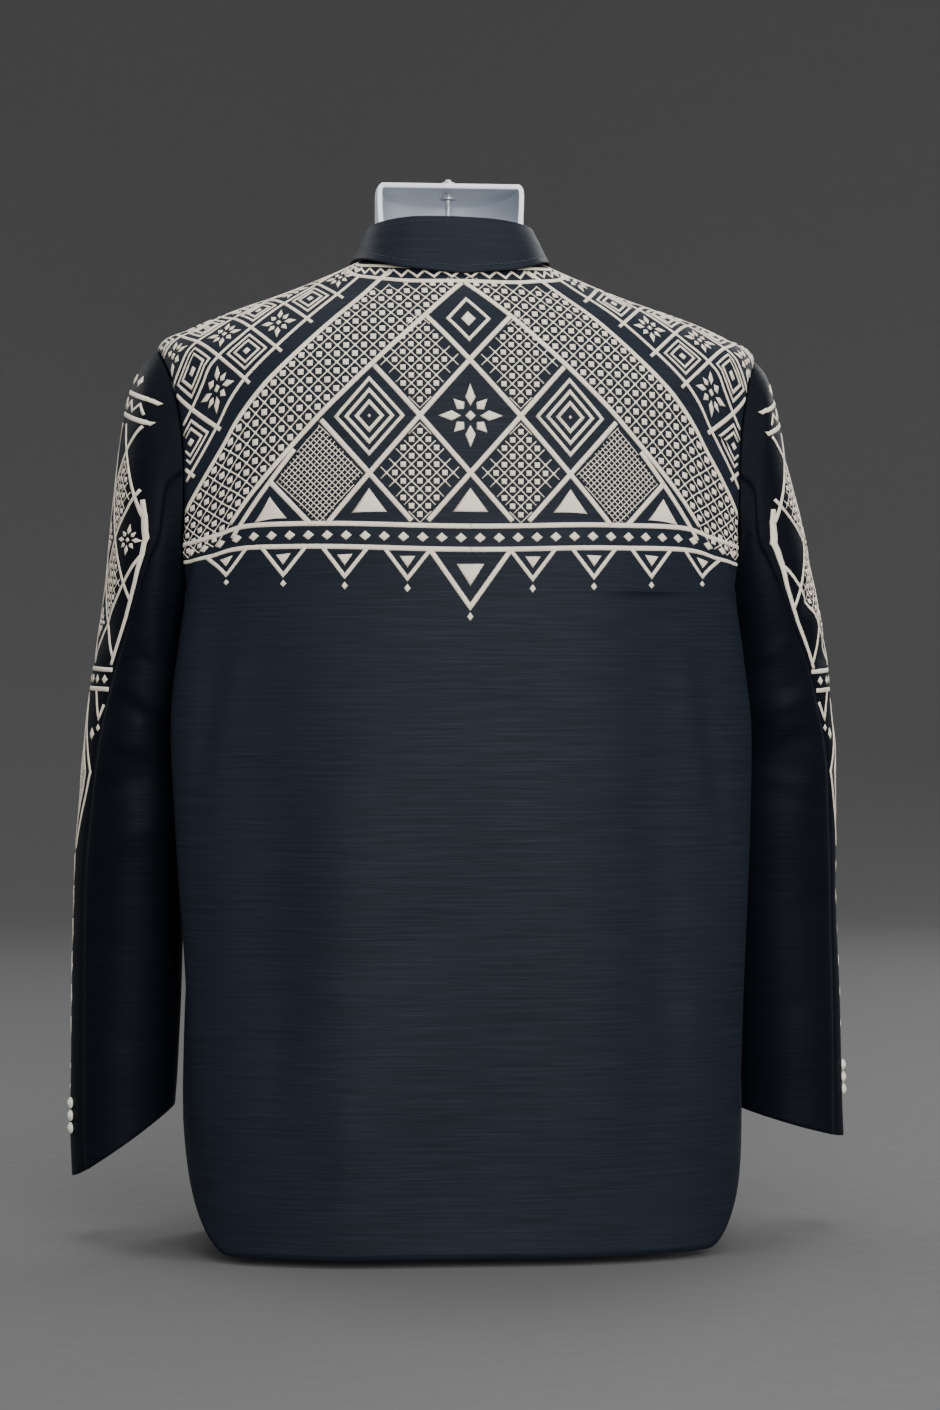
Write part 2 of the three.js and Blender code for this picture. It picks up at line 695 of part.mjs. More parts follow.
function neckRing(made) {
  const section = { ...made, boxy: NECK_BOXY, spread: 0, drape: 0, row: 3 };
  const around = { back: quarter(section, true, true), front: quarter(section, false, true) };
  const point = (back, share, side) => {
    const p = around[back ? "back" : "front"](share * (share === 1 ? SHOULDER_SHARE : 1));
    return lean(new THREE.Vector3(p.x * side, p.y, p.z));
  };
  return ringFrom(point, (t, side) => point(true, 1, side).lerp(point(false, 1, side), t));
}

// A closed body from rings, with a flat base and top.
function ringBody(rings) {
  const columns = rings[0].length;
  const points = rings.flat();
  const faces = [];
  for (let i = 0; i < rings.length - 1; i++) {
    for (let j = 0; j < columns; j++) {
      const k = (j + 1) % columns;
      faces.push([i * columns + j, i * columns + k, (i + 1) * columns + k, (i + 1) * columns + j]);
    }
  }
  const top = (rings.length - 1) * columns;
  const centres = [rings[0], rings[rings.length - 1]].map((ring) => {
    const sum = ring.reduce((all, p) => all.add(p), new THREE.Vector3());
    return points.push(sum.multiplyScalar(1 / columns)) - 1;
  });
  for (let j = 0; j < columns; j++) {
    const k = (j + 1) % columns;
    faces.push([centres[0], k, j], [centres[1], top + j, top + k]);
  }
  return closed(points, faces);
}

function torso() {
  const bodyRings = [...TORSO_SKIRT_ROWS];
  for (let k = 2; k < ARMHOLE_STEPS; k += 2) bodyRings.push(1 + k / ARMHOLE_STEPS);
  for (let k = 0; k < SHOULDER_STEPS; k++) bodyRings.push(2 + k / SHOULDER_STEPS);
  const bare = [...bodyRings.map(torsoRing), ...NECK.map(neckRing)];
  const quarterColumns = HALF_STEPS / 2 + DOME_STEPS / 2;
  const normals = bare.map((ring, i) => ring.map((point, j) => loopNormal(bare, i, j)));
  const inward = (i, j) => {
    if (i >= bodyRings.length) return 0;
    const share = 1 - Math.abs((j % (2 * quarterColumns)) / quarterColumns - 1);
    return CLOTH + REST_GAP + CHEST_EASE * (1 - share);
  };
  const moved = (depth, baseZ, topZ) => bare.map((ring, i) => ring.map((point, j) => {
    const made = point.clone().addScaledVector(normals[i][j], inward(i, j) + depth);
    if (i === 0) made.z = baseZ;
    if (i === bare.length - 1) made.z = topZ;
    return made;
  }));
  const outer = toSolid(ringBody(moved(0, 0, TORSO_TOP_Z)));
  const inner = toSolid(ringBody(moved(TORSO_WALL, TORSO_WALL, TORSO_TOP_Z - TORSO_WALL)));
  const behind = new THREE.BoxGeometry(CUTTER, CUTTER, CUTTER);
  behind.translate(0, TORSO_BACK_Y + CUTTER / 2, TORSO_TOP_Z / 2);
  const hole = upright(STUD_RADIUS + STUD_GAP, ROUND_SIDES, TORSO_TOP_Z - STUD_DROP, TORSO_TOP_Z + STUD_RISE);
  return toGeometry(outer.subtract(inner).subtract(toSolid(behind)).subtract(toSolid(hole)));
}

// A round bar or washer on the stud's axis, from one height to another.
function upright(radius, sides, fromZ, toZ) {
  const height = toZ - fromZ;
  return new THREE.CylinderGeometry(radius, radius, height, sides)
    .rotateX(Math.PI / 2)
    .translate(LEAN, STUD_Y, (fromZ + toZ) / 2);
}

// A hexagon nut on the stud, with a flange round its foot.
function nut(fromZ) {
  const shape = new THREE.Shape();
  for (let i = 0; i < HEX_SIDES; i++) {
    const turn = (2 * Math.PI * i) / HEX_SIDES;
    const place = [NUT_RADIUS * Math.cos(turn), NUT_RADIUS * Math.sin(turn)];
    if (i) shape.lineTo(...place);
    else shape.moveTo(...place);
  }
  const body = new THREE.ExtrudeGeometry(shape, { depth: NUT_HEIGHT, bevelEnabled: false });
  body.translate(LEAN, STUD_Y, fromZ);
  const flange = upright(FLANGE_RADIUS, ROUND_SIDES, fromZ, fromZ + FLANGE_HEIGHT);
  const bore = upright(STUD_RADIUS + STUD_GAP, ROUND_SIDES, fromZ - NUT_HEIGHT, fromZ + 2 * NUT_HEIGHT);
  return toGeometry(toSolid(body).add(toSolid(flange)).subtract(toSolid(bore)));
}

function buttonGeometry(radius) {
  const depth = radius * BUTTON_DEPTH;
  const profile = [
    [0, 0],
    [0.82, 0],
    [1, 0.3],
    [0.78, 0.78],
    [0.42, 0.96],
    [0, 1],
  ].map(([across, high]) => new THREE.Vector2(across * radius, high * depth));
  return new THREE.LatheGeometry(profile, BUTTON_SIDES);
}

// Seats a button on a panel where a ray meets it, turned to the panel's face.
function seatButton(mesh, radius, from, direction) {
  const [hit] = new THREE.Raycaster(from, direction.clone().normalize()).intersectObject(mesh);
  const turn = new THREE.Quaternion().setFromUnitVectors(new THREE.Vector3(0, 1, 0), hit.face.normal);
  const place = hit.point.addScaledVector(hit.face.normal, SEAM);
  return buttonGeometry(radius).applyQuaternion(turn).translate(...place);
}

const CLOTH_LOOK = { color: 0x1d232e, roughness: 0.6 };
const TORSO_LOOK = { color: 0xd8dee6, roughness: 0.35 };
const ZINC_LOOK = { color: 0x9aa3a8, roughness: 0.35, metalness: 1 };
const PEARL_LOOK = { color: 0xe8e1d0, roughness: 0.3 };

const barongCoat = new THREE.Group();

function addPiece(name, geometry, look) {
  const mesh = new THREE.Mesh(geometry, new THREE.MeshStandardMaterial(look));
  mesh.name = name;
  barongCoat.add(mesh);
  return mesh;
}

addPiece("back", backWall(), CLOTH_LOOK);
const frontLeft = addPiece("front_left", frontWall(1), CLOTH_LOOK);
addPiece("front_right", frontWall(-1), CLOTH_LOOK);
addPiece("collar_stand", collarStand(), CLOTH_LOOK);
addPiece("collar_fall", collarFall(), CLOTH_LOOK);

for (let i = 0; i < FRONT_BUTTONS; i++) {
  const from = new THREE.Vector3(0, -SEAT_FROM, FRONT_BUTTON_TOP_Z - FRONT_BUTTON_PITCH * i);
  const toBack = new THREE.Vector3(0, 1, 0);
  addPiece(`front_button_${i + 1}`, seatButton(frontLeft, FRONT_BUTTON_RADIUS, from, toBack), PEARL_LOOK);
}

for (const [word, side] of [["left", 1], ["right", -1]]) {
  const tube = sleeveTube(side);
  const whole = tube.grid[0].length;
  const top = sleevePanel(tube, BACK_SEAM_STEP, whole - FRONT_SEAM_STEP, side);
  const topMesh = addPiece(`sleeve_top_${word}`, top, CLOTH_LOOK);
  addPiece(`sleeve_under_${word}`, sleevePanel(tube, -FRONT_SEAM_STEP, BACK_SEAM_STEP, side), CLOTH_LOOK);
  const cuff = (side > 0 ? SLEEVE_LEFT : SLEEVE_RIGHT).at(-1);
  for (let i = 0; i < CUFF_BUTTONS; i++) {
    const middle = sleevePoint(cuff, CUFF_BUTTON_TURN, side);
    middle.z += CUFF_BUTTON_RISE + CUFF_BUTTON_PITCH * (i - (CUFF_BUTTONS - 1) / 2);
    const toAxis = new THREE.Vector3((side * (cuff.outX + cuff.inX)) / 2, cuff.y, middle.z).sub(middle);
    const from = middle.sub(toAxis);
    const button = seatButton(topMesh, CUFF_BUTTON_RADIUS, from, toAxis);
    addPiece(`cuff_button_${word}_${i + 1}`, button, PEARL_LOOK);
  }
}

addPiece("torso", torso(), TORSO_LOOK);
const stud = upright(STUD_RADIUS, ROUND_SIDES, TORSO_TOP_Z - STUD_DROP, TORSO_TOP_Z + STUD_RISE);
addPiece("hanger_stud", stud, ZINC_LOOK);
addPiece("hanger_nut_top", nut(TORSO_TOP_Z + STUD_GAP), ZINC_LOOK);
addPiece("hanger_nut_under", nut(TORSO_TOP_Z - TORSO_WALL - STUD_GAP - NUT_HEIGHT), ZINC_LOOK);

const box = new THREE.Box3().setFromObject(barongCoat);
barongCoat.position.set(-(box.min.x + box.max.x) / 2, -(box.min.y + box.max.y) / 2, -box.min.z);

export default barongCoat;
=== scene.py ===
"""Dresses a barong coat on its hollow-backed display torso: cloth, embroidery, buttons, stud and studio.

+X is the wearer's left, +Y the wearer's back and +Z up. The tables are in millimetres, as the cut is.
"""
import json
from bisect import bisect_left
from math import acos, cos, exp, floor, hypot, pi, radians, sin

import bmesh
import bpy
from mathutils import Matrix, Vector, noise
from mathutils.bvhtree import BVHTree
from mathutils.geometry import barycentric_transform

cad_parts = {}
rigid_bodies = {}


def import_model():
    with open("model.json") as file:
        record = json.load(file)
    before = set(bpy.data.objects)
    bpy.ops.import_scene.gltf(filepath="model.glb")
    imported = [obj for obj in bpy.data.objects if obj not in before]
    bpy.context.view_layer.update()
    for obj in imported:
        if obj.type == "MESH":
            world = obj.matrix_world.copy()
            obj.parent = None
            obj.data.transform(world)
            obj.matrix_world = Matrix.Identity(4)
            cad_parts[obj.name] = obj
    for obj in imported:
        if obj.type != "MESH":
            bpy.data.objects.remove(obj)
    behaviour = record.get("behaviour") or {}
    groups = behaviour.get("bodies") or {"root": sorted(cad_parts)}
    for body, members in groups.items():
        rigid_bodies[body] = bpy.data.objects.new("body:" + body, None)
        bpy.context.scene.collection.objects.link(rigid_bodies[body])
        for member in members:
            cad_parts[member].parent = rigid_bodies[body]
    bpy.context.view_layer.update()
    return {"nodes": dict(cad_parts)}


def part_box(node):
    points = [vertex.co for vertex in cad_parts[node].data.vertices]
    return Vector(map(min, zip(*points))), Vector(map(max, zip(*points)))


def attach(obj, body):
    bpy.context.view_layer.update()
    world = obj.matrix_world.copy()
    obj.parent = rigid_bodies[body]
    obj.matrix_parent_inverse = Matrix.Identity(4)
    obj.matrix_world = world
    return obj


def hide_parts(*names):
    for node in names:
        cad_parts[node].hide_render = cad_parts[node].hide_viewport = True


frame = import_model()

bl_info = {
    "name": "Barong Coat",
    "version": (1, 0, 0),
    "blender": (4, 5, 0),
    "location": "View3D > Sidebar > Coat",
    "description": "Models an embroidered barong coat on a display torso",
    "category": "Add Mesh",
}

MM = 0.001

# Where the pattern's own origin lies in the frame: the stud stands at (8, 15) in the pattern
LEAN = 8
STUD_Y = 15
STUD_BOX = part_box("hanger_stud")
ORIGIN = Vector([
    (STUD_BOX[0][0] + STUD_BOX[1][0]) / 2 - LEAN * MM,
    (STUD_BOX[0][1] + STUD_BOX[1][1]) / 2 - STUD_Y * MM,
    0,
])

# The cut of the coat, in millimetres
CLOTH = 1.6
SEAM = 0.3
ARMHOLE_SPREAD = 62
OVERLAP = 15
UNDERLAP_DROP = 2.4
UNDERLAP_FROM = 14
UNDERLAP_TO = 56
DRAPE_Y = 58
DRAPE_WIDTH_FRONT = 19
DRAPE_WIDTH_BACK = 30
SWAY = -4
HEM_LIFT_FROM = 0.66
HEM_LIFT_TO = 0.98
LEAN_FROM_Z = 690
LEAN_TO_Z = 785
SHOULDER_TILT = 0.007
TILT_FROM_Z = 560
TILT_TO_Z = 720
COLLAR_FRONT_SHARE = 0.12

# Fineness of the cloth's grids
QUARTER_SAMPLES = 240
SKIRT_STEPS = 60
ARMHOLE_STEPS = 48
SHOULDER_STEPS = 34
HALF_STEPS = 50
EDGE_CROWDING = 0.62
RING_STEPS = 7
COLLAR_STEPS = 64
FALL_STEPS = 5
STAND_STEPS = 10

# How the cloth lies: tucked in at its seams, slack between them, and creased
SEAM_TUCK = 0.85
SEAM_TUCK_WIDTH = 2.4
SLACK = 1.3
SLACK_LENGTH = 74
SLACK_FROM_SEAM = 2
SLACK_WHOLE = 26
CREASE_DEPTH = 1.45
CREASE_WANDER = 4
WANDER_LENGTH = 34
CREASE_TAPER = 0.4
CREASE_LEAST = 3
CREASE_REACH = 0.7

# Raised stitching: its root, the cross-section of bars and pads, and the reach of a diaper in cells
STITCH_ROOT = -0.12
SINGLE_THREAD = 1.6
BAR_FLAT = 0.27
BAR_CROWN = 0.9
PAD_INSET = 0.34
PAD_SHOULDER = 0.85
DIAPER_REACH = 9
TOPSTITCH_HEIGHT = 0.28
TOPSTITCH_WIDTH = 0.55
TOPSTITCH_LENGTH = 2.1
TOPSTITCH_PITCH = 2.9

# The yoke on the flat pattern: its slanting bands, its foot and its bent border
BAND_TURN = -44
BAND_TOP = (70, 236)
BAND_WIDTH = 48
BAND_LENGTH = 330
YOKE_FOOT = 50
BORDER_V = 30
BORDER_BEND = 0.00034
BORDER_DEPTH = 17

# The sleeve's embroidery on the flat pattern: the head's bend, and the heights between its parts
HEAD_BEND = 0.0016
FIELD_FOOT = 446
FIELD_TOP = 638
HEAD_TOP = 720
SEAM_INSET = 5
LENS_V = 362

# Satin gloss of the body and of the sleeves; the sleeves' cloth is also painted darker, as painted shade
BODY_GLOSS = 0.1
SLEEVE_GLOSS = 0.05
SLEEVE_PAINTED_SHADE = 0.42
TOPSTITCH_TONE = 2.4

# Torso, stud and nuts, in millimetres and degrees
TORSO_WALL = 3.6
TORSO_BACK_Y = 40
TORSO_TOP_Z = 808
NECK_BOXY = 2.4
CHEST_EASE = 5.5
DOME_BULGE = 7
SHOULDER_SHARE = 0.97
REST_GAP = 2.0
TORSO_HALF_STEPS = 36
DOME_STEPS = 10
STUD_RADIUS = 2.5
THREAD_PITCH = 0.8
STUD_END = 0.6
NUT_RADIUS = 5.2
NUT_BEVEL = 0.45
FLANGE_RADIUS = 6.6
FLANGE_HEIGHT = 1.4
FLANGE_BEVEL = 0.3
METAL_ANGLE = 40

# Rows of the torso's rings below the armpit, up to the shoulder tip and above it, and its finish
TORSO_ROWS = (24, 20, 16)
NECK_STEPS = 5
TORSO_CROWDING = 0.75
TORSO_COLUMNS = 141
RIM_BEVEL = 1.25
RIM_ANGLE = 40
TORSO_ANGLE = 38


def table(columns, rows):
    """Rows of numbers as dictionaries, one name for each column."""
    return [dict(zip(columns.split(), row)) for row in rows]


# Sections of the body from the hem, row 0, by the armpit, 1, and the shoulder tip, 2, to the neckline, 3
BODY = table("row sideX sideY sideZ backY backZ frontY frontZ boxy drape", [
    (0.0, 214, -4, 98, 108, 6, -114, 6, 2.8, 2),
    (0.1, 214, -4, 128, 109, 55, -115, 55, 2.8, 3),
    (0.25, 212, -4, 184, 111, 132, -117, 132, 2.8, 8),
    (0.4, 208, -4, 244, 113, 218, -119, 218, 2.75, 16),
    (0.6, 205, -4, 325, 115, 318, -122, 318, 2.7, 25),
    (0.78, 204, -3, 398, 117, 398, -125, 398, 2.65, 28),
    (0.9, 203, -2, 455, 119, 455, -126, 455, 2.6, 22),
    (1.0, 203, 0, 497, 120, 497, -126, 497, 2.55, 17),
    (1.25, 207, 1, 543, 121, 527, -125, 525, 2.5, 15),
    (1.5, 214, 2, 590, 121, 556, -122, 553, 2.4, 16),
    (1.75, 221, 3, 638, 120.5, 585, -117, 580, 2.3, 9),
    (2.0, 229, 3, 682, 119, 614, -110, 603, 2.2, 0),
    (2.2, 204, 3, 698, 116, 650, -102, 628, 2.15, 0),
    (2.45, 168, 2, 713, 106, 688, -91, 652, 2.1, 0),
    (2.7, 124, 1, 728.5, 92, 718, -80, 670, 2.05, 0),
    (2.88, 90, -1, 742, 77, 737, -72, 680, 2.3, 0),
    (3.0, 69, -2, 752, 64, 748, -66, 686, 2.6, 0),
])

# Soft folds of the body: where each lies across the panel, its width and depth, and the rows it runs between
FOLDS = table("back x width depth low high", [
    (1, 150, 26, -3.4, 0.1, 1.0),
    (1, 96, 30, 2.4, -0.2, 0.8),
    (1, -140, 24, -3, 0.0, 1.1),
    (1, -84, 34, 2.2, -0.2, 0.7),
    (1, 10, 40, -1.8, -0.2, 0.6),
    (0, 138, 26, -3.2, -0.1, 1.0),
    (0, 84, 30, 2.4, -0.2, 0.8),
    (0, -130, 26, -3.2, 0.0, 1.1),
    (0, -76, 30, 2.2, -0.2, 0.7),
])

# Sleeve sections: outer and inner edge, middle and half depth along Y, and the seams' turns in degrees
SLEEVE_COLUMNS = "outX outZ inX inZ y depth seamBack seamFront"
SLEEVES = {
    1: table(SLEEVE_COLUMNS, [
        (241, 671, 204.6, 490.5, 0, 62, 112, -148),
        (250.5, 650, 206, 484, -2, 63, 108, -146),
        (256, 624, 207, 476, -5, 65, 102, -144),
        (261, 590, 208, 466, -9, 67, 93, -142),
        (266, 550, 208.6, 451, -14, 68, 84, -140),
        (270, 505, 209, 431, -20, 68, 73, -138),
        (276, 462, 208.6, 406, -26, 67, 60, -136),
        (282, 424, 208, 379, -30, 65, 51, -135),
        (286.5, 384, 207.6, 348, -33, 63, 44, -134),
        (290, 340, 208, 312, -36, 60, 39, -133),
        (293.5, 292, 209, 272, -38, 57, 37, -132),
        (295, 240, 210.5, 230, -39, 54, 37, -131),
        (295.5, 186, 212, 188, -40, 51, 38, -130),
        (296.5, 136, 214, 152, -41, 49, 40, -129),
        (297.5, 90, 215.5, 124, -42, 47, 43, -128),
        (296, 50, 217, 104, -42, 46, 46, -128),
    ]),
    -1: table(SLEEVE_COLUMNS, [
        (238.5, 670, 204.6, 490.5, 0, 62, 114, -148),
        (245, 649, 206, 484, -2, 63, 110, -146),
        (252, 621, 207, 476, -5, 64, 103, -144),
        (260, 588, 208, 466, -9, 65, 94, -142),
        (271, 551, 209, 451, -14, 66, 87, -140),
        (281, 507, 210, 431, -20, 65, 78, -138),
        (291, 462, 210, 406, -26, 63, 65, -136),
        (296, 420, 210, 379, -30, 61, 53, -135),
        (300.5, 380, 210, 348, -33, 59, 45, -134),
        (301.5, 336, 210.5, 312, -36, 57, 39, -133),
        (302.5, 290, 212, 274, -38, 55, 37, -132),
        (303.5, 240, 214, 236, -39, 53, 37, -131),
        (305.5, 190, 217, 198, -40, 51, 38, -130),
        (307, 146, 220, 162, -41, 49, 40, -129),
        (308.5, 108, 222, 128, -42, 47, 43, -128),
        (310, 74, 224, 98, -42, 46, 46, -128),
    ]),
}
ELBOW_CREASES = table("turn z slope reach width depth", [
    (120, 372, 0.35, 62, 17, -4.2),
    (112, 408, 0.3, 55, 18, 2.8),
    (126, 330, -0.3, 55, 18, 2.4),
    (-112, 392, -0.3, 60, 18, -3.6),
    (-118, 350, 0.25, 55, 18, 2.6),
])

# The sleeve's seams as shares of half the armhole, its wider gap at the tip, and its head's and level rings
BACK_SEAM = 0.5
FRONT_SEAM = 1 / 6
TIP_GAP = (8 / 12, 11 / 12)
HEAD_RINGS = 4
SLEEVE_LEVEL_RING = 9

# Collar from the centre back to the front end, the stand's foot, and the rows of the turned-down fall
COLLAR = table("foldX foldY foldZ edgeX edgeY edgeZ", [
    (0, 66, 777, 0, 84, 735),
    (34, 61, 776.5, 43, 77, 739.5),
    (59, 38, 774, 67, 52, 748),
    (61.5, 2, 769, 77, 6, 752),
    (56, -32, 759, 77, -36, 738),
    (34, -55, 740, 63, -72, 702),
    (5, -66, 720, 34, -99, 652),
])
STAND_FOOT = 1.1
FALL = table("out rise down", [
    (-0.9, 2.2, 0),
    (1.5, 1.7, 0),
    (2.9, -0.8, 0),
    (3.6, -1, 0.33),
    (2.6, 0, 0.67),
    (0, 0, 1),
])

# Rings of the torso's neck, and how far its lower rings are drawn in
NECK = table("sideX sideY sideZ backY backZ frontY frontZ", [
    (61, 6, 748, 60, 741, -53, 675),
    (57.5, 14, 763, 75, 762, -53, 720),
    (56.3, 20, 780, 85, 780, -53, 760),
    (56.3, 24, 793, 90, 793, -52, 788),
    (56, 24, 804, 90, 804, -51, 803),
    (53, 24, TORSO_TOP_Z, 88, TORSO_TOP_Z, -48, TORSO_TOP_Z),
])
TORSO_SLIM = table("row width depth", [
    (0, 0.7, 0.78),
    (0.3, 0.69, 0.77),
    (0.6, 0.72, 0.8),
    (0.85, 0.84, 0.9),
    (1.1, 0.94, 0.96),
    (1.4, 0.975, 0.985),
    (1.8, 0.965, 1),
    (2, 0.965, 1),
    (2.3, 0.985, 1),
    (2.5, 1, 1),
    (3, 1, 1),
])

# Creases that wearing and hanging leave: place and turn on the flat panel, half length and width, and depth
CREASE_COLUMNS = "u v turn length width depth"
BACK_CREASES = table(CREASE_COLUMNS, [
    (226, 18, 12, 62, 7, -1.9),
    (214, 30, 20, 48, 8, 1.5),
    (-228, 8, -10, 70, 7, -1.9),
    (-214, 26, -18, 52, 8, 1.4),
    (196, -92, 8, 88, 9, -1.5),
    (-190, -118, -7, 96, 10, -1.6),
    (176, -60, 14, 80, 11, 1.1),
    (-172, -84, -12, 74, 11, 1.0),
    (120, -150, 24, 90, 16, -0.9),
    (-96, -196, -28, 84, 18, -0.8),
    (58, -262, 62, 70, 15, -0.7),
    (-34, -98, -70, 92, 20, -0.6),
    (142, -330, 10, 74, 12, -1.2),
    (-150, -310, -12, 80, 13, -1.1),
    (92, -402, 6, 56, 14, 1.0),
    (-62, -410, -5, 60, 15, 0.9),
])
FRONT_CREASES = table(CREASE_COLUMNS, [
    (222, 14, 14, 60, 7, -1.9),
    (206, 26, 22, 46, 8, 1.4),
    (188, -96, 9, 86, 9, -1.5),
    (160, -64, 16, 78, 11, 1.0),
    (104, -170, 26, 88, 16, -0.9),
    (60, -288, 18, 80, 15, -0.8),
    (136, -326, 11, 70, 12, -1.1),
    (84, -410, 5, 54, 14, 0.9),
])
SLEEVE_CREASES = {
    1: table(CREASE_COLUMNS, [
        (66, 462, 52, 44, 6, -2.3),
        (58, 440, 56, 46, 7, 1.7),
        (84, 410, 66, 52, 7, -2.4),
        (70, 388, 70, 50, 8, 1.6),
        (60, 352, 96, 46, 7, -2.2),
        (88, 318, 104, 40, 8, 1.3),
        (76, 546, 34, 46, 7, -1.7),
        (96, 520, 24, 52, 8, 1.2),
        (-78, 404, -66, 50, 7, -2.1),
        (-92, 368, -84, 46, 8, 1.5),
        (-84, 470, -48, 46, 7, -1.8),
        (50, 232, 80, 40, 9, -1.2),
        (-54, 214, -76, 42, 9, -1.2),
        (84, 150, 60, 40, 10, -0.9),
    ]),
    -1: table(CREASE_COLUMNS, [
        (58, 498, 48, 48, 6, -2.6),
        (72, 474, 54, 52, 7, 2.0),
        (54, 446, 58, 54, 7, -2.8),
        (80, 420, 62, 50, 7, 1.9),
        (64, 392, 70, 48, 8, -2.3),
        (86, 356, 92, 44, 8, 1.3),
        (80, 556, 30, 48, 7, -1.8),
        (100, 530, 20, 50, 8, 1.2),
        (-80, 420, -64, 52, 7, -2.2),
        (-94, 382, -80, 46, 8, 1.5),
        (-82, 486, -44, 46, 7, -1.8),
        (46, 262, 76, 42, 9, -1.3),
        (-52, 240, -80, 40, 9, -1.1),
        (80, 176, 66, 38, 10, -0.9),
    ]),
}

# Buttons: their radii, their depth for each radius, and (share of the radius, share of the depth) pairs
FRONT_BUTTON = 5.5
CUFF_BUTTON = 4.4
BUTTON_DEPTH = 0.8
BUTTON_PROFILE = [
    (0.62, -0.04), (0.82, 0.0), (0.95, 0.1), (1.0, 0.26), (0.99, 0.4), (0.93, 0.52), (0.86, 0.58),
    (0.80, 0.57), (0.75, 0.60), (0.66, 0.72), (0.52, 0.86), (0.36, 0.95), (0.18, 0.99), (0.03, 1.0),
]

# The photograph's camera, in millimetres and degrees
CAMERA_TURN = 5
CAMERA_DISTANCE = 2300
CAMERA_Z = 413.5
CAMERA_SHIFT = 10
MM_PER_PIXEL = 0.77
IMAGE_HEIGHT = 1410
SENSOR = 36

# Softboxes, in metres and watts, and the studio round them
LIGHTS = table("x y z size power", [
    (-0.4, 3.4, 1.2, 2.3, 150),
    (-2.4, 1.7, 2.2, 1.4, 38),
    (2.5, 1.4, 1.9, 1.4, 16),
    (0.0, 0.1, 3.5, 2.2, 62),
    (-2.1, -2.4, 2.0, 1.6, 52),
    (2.3, -2.2, 2.2, 1.6, 40),
])
LIGHT_TARGET = (0, 0, 0.45)
AIR_COLOUR = (0.92, 0.95, 1.0)
SWEEP_HEIGHT = 4.2
SWEEP_BEND = 1.6
SWEEP_STEPS = 12
SWEEP_SIDES = 96


def clamp01(x):
    return min(1.0, max(0.0, x))


def mix(a, b, t):
    return a + (b - a) * t


def smooth(low, high, x):
    t = clamp01((x - low) / (high - low))
    return t * t * (3 - 2 * t)


def hump(x, width):
    return exp(-((x / width) ** 2))


def spline_values(a, b, c, d, t):
    """A smooth value between b and c, whose neighbours are a and d."""
    rise, fall = (c - a) / 2, (d - b) / 2
    s, u = t * t, t * t * t
    return b * (2 * u - 3 * s + 1) + rise * (u - 2 * s + t) + c * (3 * s - 2 * u) + fall * (u - s)


def table_at(rows, index):
    """A table's values at a fractional index, on a smooth curve through its rows."""
    i = min(len(rows) - 2, max(0, floor(index)))
    near = [rows[min(len(rows) - 1, max(0, k))] for k in (i - 1, i, i + 1, i + 2)]
    return {key: spline_values(*(row[key] for row in near), index - i) for key in rows[i]}


def table_at_row(rows, row):
    i = 0
    while i < len(rows) - 2 and rows[i + 1]["row"] < row:
        i += 1
    return table_at(rows, i + clamp01((row - rows[i]["row"]) / (rows[i + 1]["row"] - rows[i]["row"])))


def lean(point):
    point.x += LEAN * smooth(LEAN_FROM_Z, LEAN_TO_Z, point.z)
    return point


def settle(point):
    """Lowers the right shoulder and raises the left one, with the lean of the neck."""
    point.z += SHOULDER_TILT * point.x * smooth(TILT_FROM_Z, TILT_TO_Z, point.z)
    return lean(point)


class Quarter:
    """One quarter of a section, from the centre line, share 0, to the side edge or the armhole, share 1."""

    def __init__(self, section, back, plain=False):
        self.row, self.back, self.plain = section["row"], back, plain
        self.side_z = section["sideZ"]
        self.centre_z = section["backZ" if back else "frontZ"]
        centre_y = section["backY" if back else "frontY"]
        power = 2 / section["boxy"]
        self.points, self.lengths = [], [0.0]
        for i in range(QUARTER_SAMPLES + 1):
            angle = pi * i / (2 * QUARTER_SAMPLES)
            x = section["sideX"] * sin(angle) ** power
            y = mix(section["sideY"], centre_y, max(0.0, cos(angle)) ** power)
            if back and not plain:
                width = DRAPE_WIDTH_FRONT if y < DRAPE_Y else DRAPE_WIDTH_BACK
                x += section["drape"] * hump(y - DRAPE_Y, width)
            self.points.append((x, y))
            if i:
                before = self.points[i - 1]
                self.lengths.append(self.lengths[-1] + hypot(x - before[0], y - before[1]))
        cut_angle = acos((section["spread"] / abs(centre_y - section["sideY"])) ** (1 / power))
        cut = 2 * QUARTER_SAMPLES * cut_angle / pi
        before = min(QUARTER_SAMPLES - 1, floor(cut))
        self.whole = self.lengths[-1]
        self.total = mix(self.lengths[before], self.lengths[before + 1], cut - before)

    def flat(self, share):
        """The point at a share, before folds, sway and lean."""
        away = abs(share) * self.total
        i = min(QUARTER_SAMPLES - 1, max(0, bisect_left(self.lengths, away) - 1))
        t = (away - self.lengths[i]) / (self.lengths[i + 1] - self.lengths[i])
        x, y = (mix(self.points[i][k], self.points[i + 1][k], t) for k in (0, 1))
        lift_from, lift_to = (HEM_LIFT_FROM, HEM_LIFT_TO) if self.row < 1 else (0, 1)
        z = mix(self.centre_z, self.side_z, smooth(lift_from, lift_to, away / self.whole))
        return -x if share < 0 else x, y, z

    def point(self, share, side):
        """A point of the coat's body. Side is 1 for the wearer's left and -1 for the right."""
        x, y, z = self.flat(share)
        point = Vector((x * side, y, z))
        if self.plain:
            return settle(point)
        for fold in FOLDS:
            if bool(fold["back"]) != self.back:
                continue
            begun = smooth(fold["low"], fold["low"] + 0.3, self.row)
            left = 1 - smooth(fold["high"] - 0.4, fold["high"], self.row)
            reach = fold["depth"] * begun * left * hump(point.x - fold["x"], fold["width"])
            point.y += reach if self.back else -reach
        point.x += SWAY * (1 - smooth(0, 1, self.row))
        return settle(point)


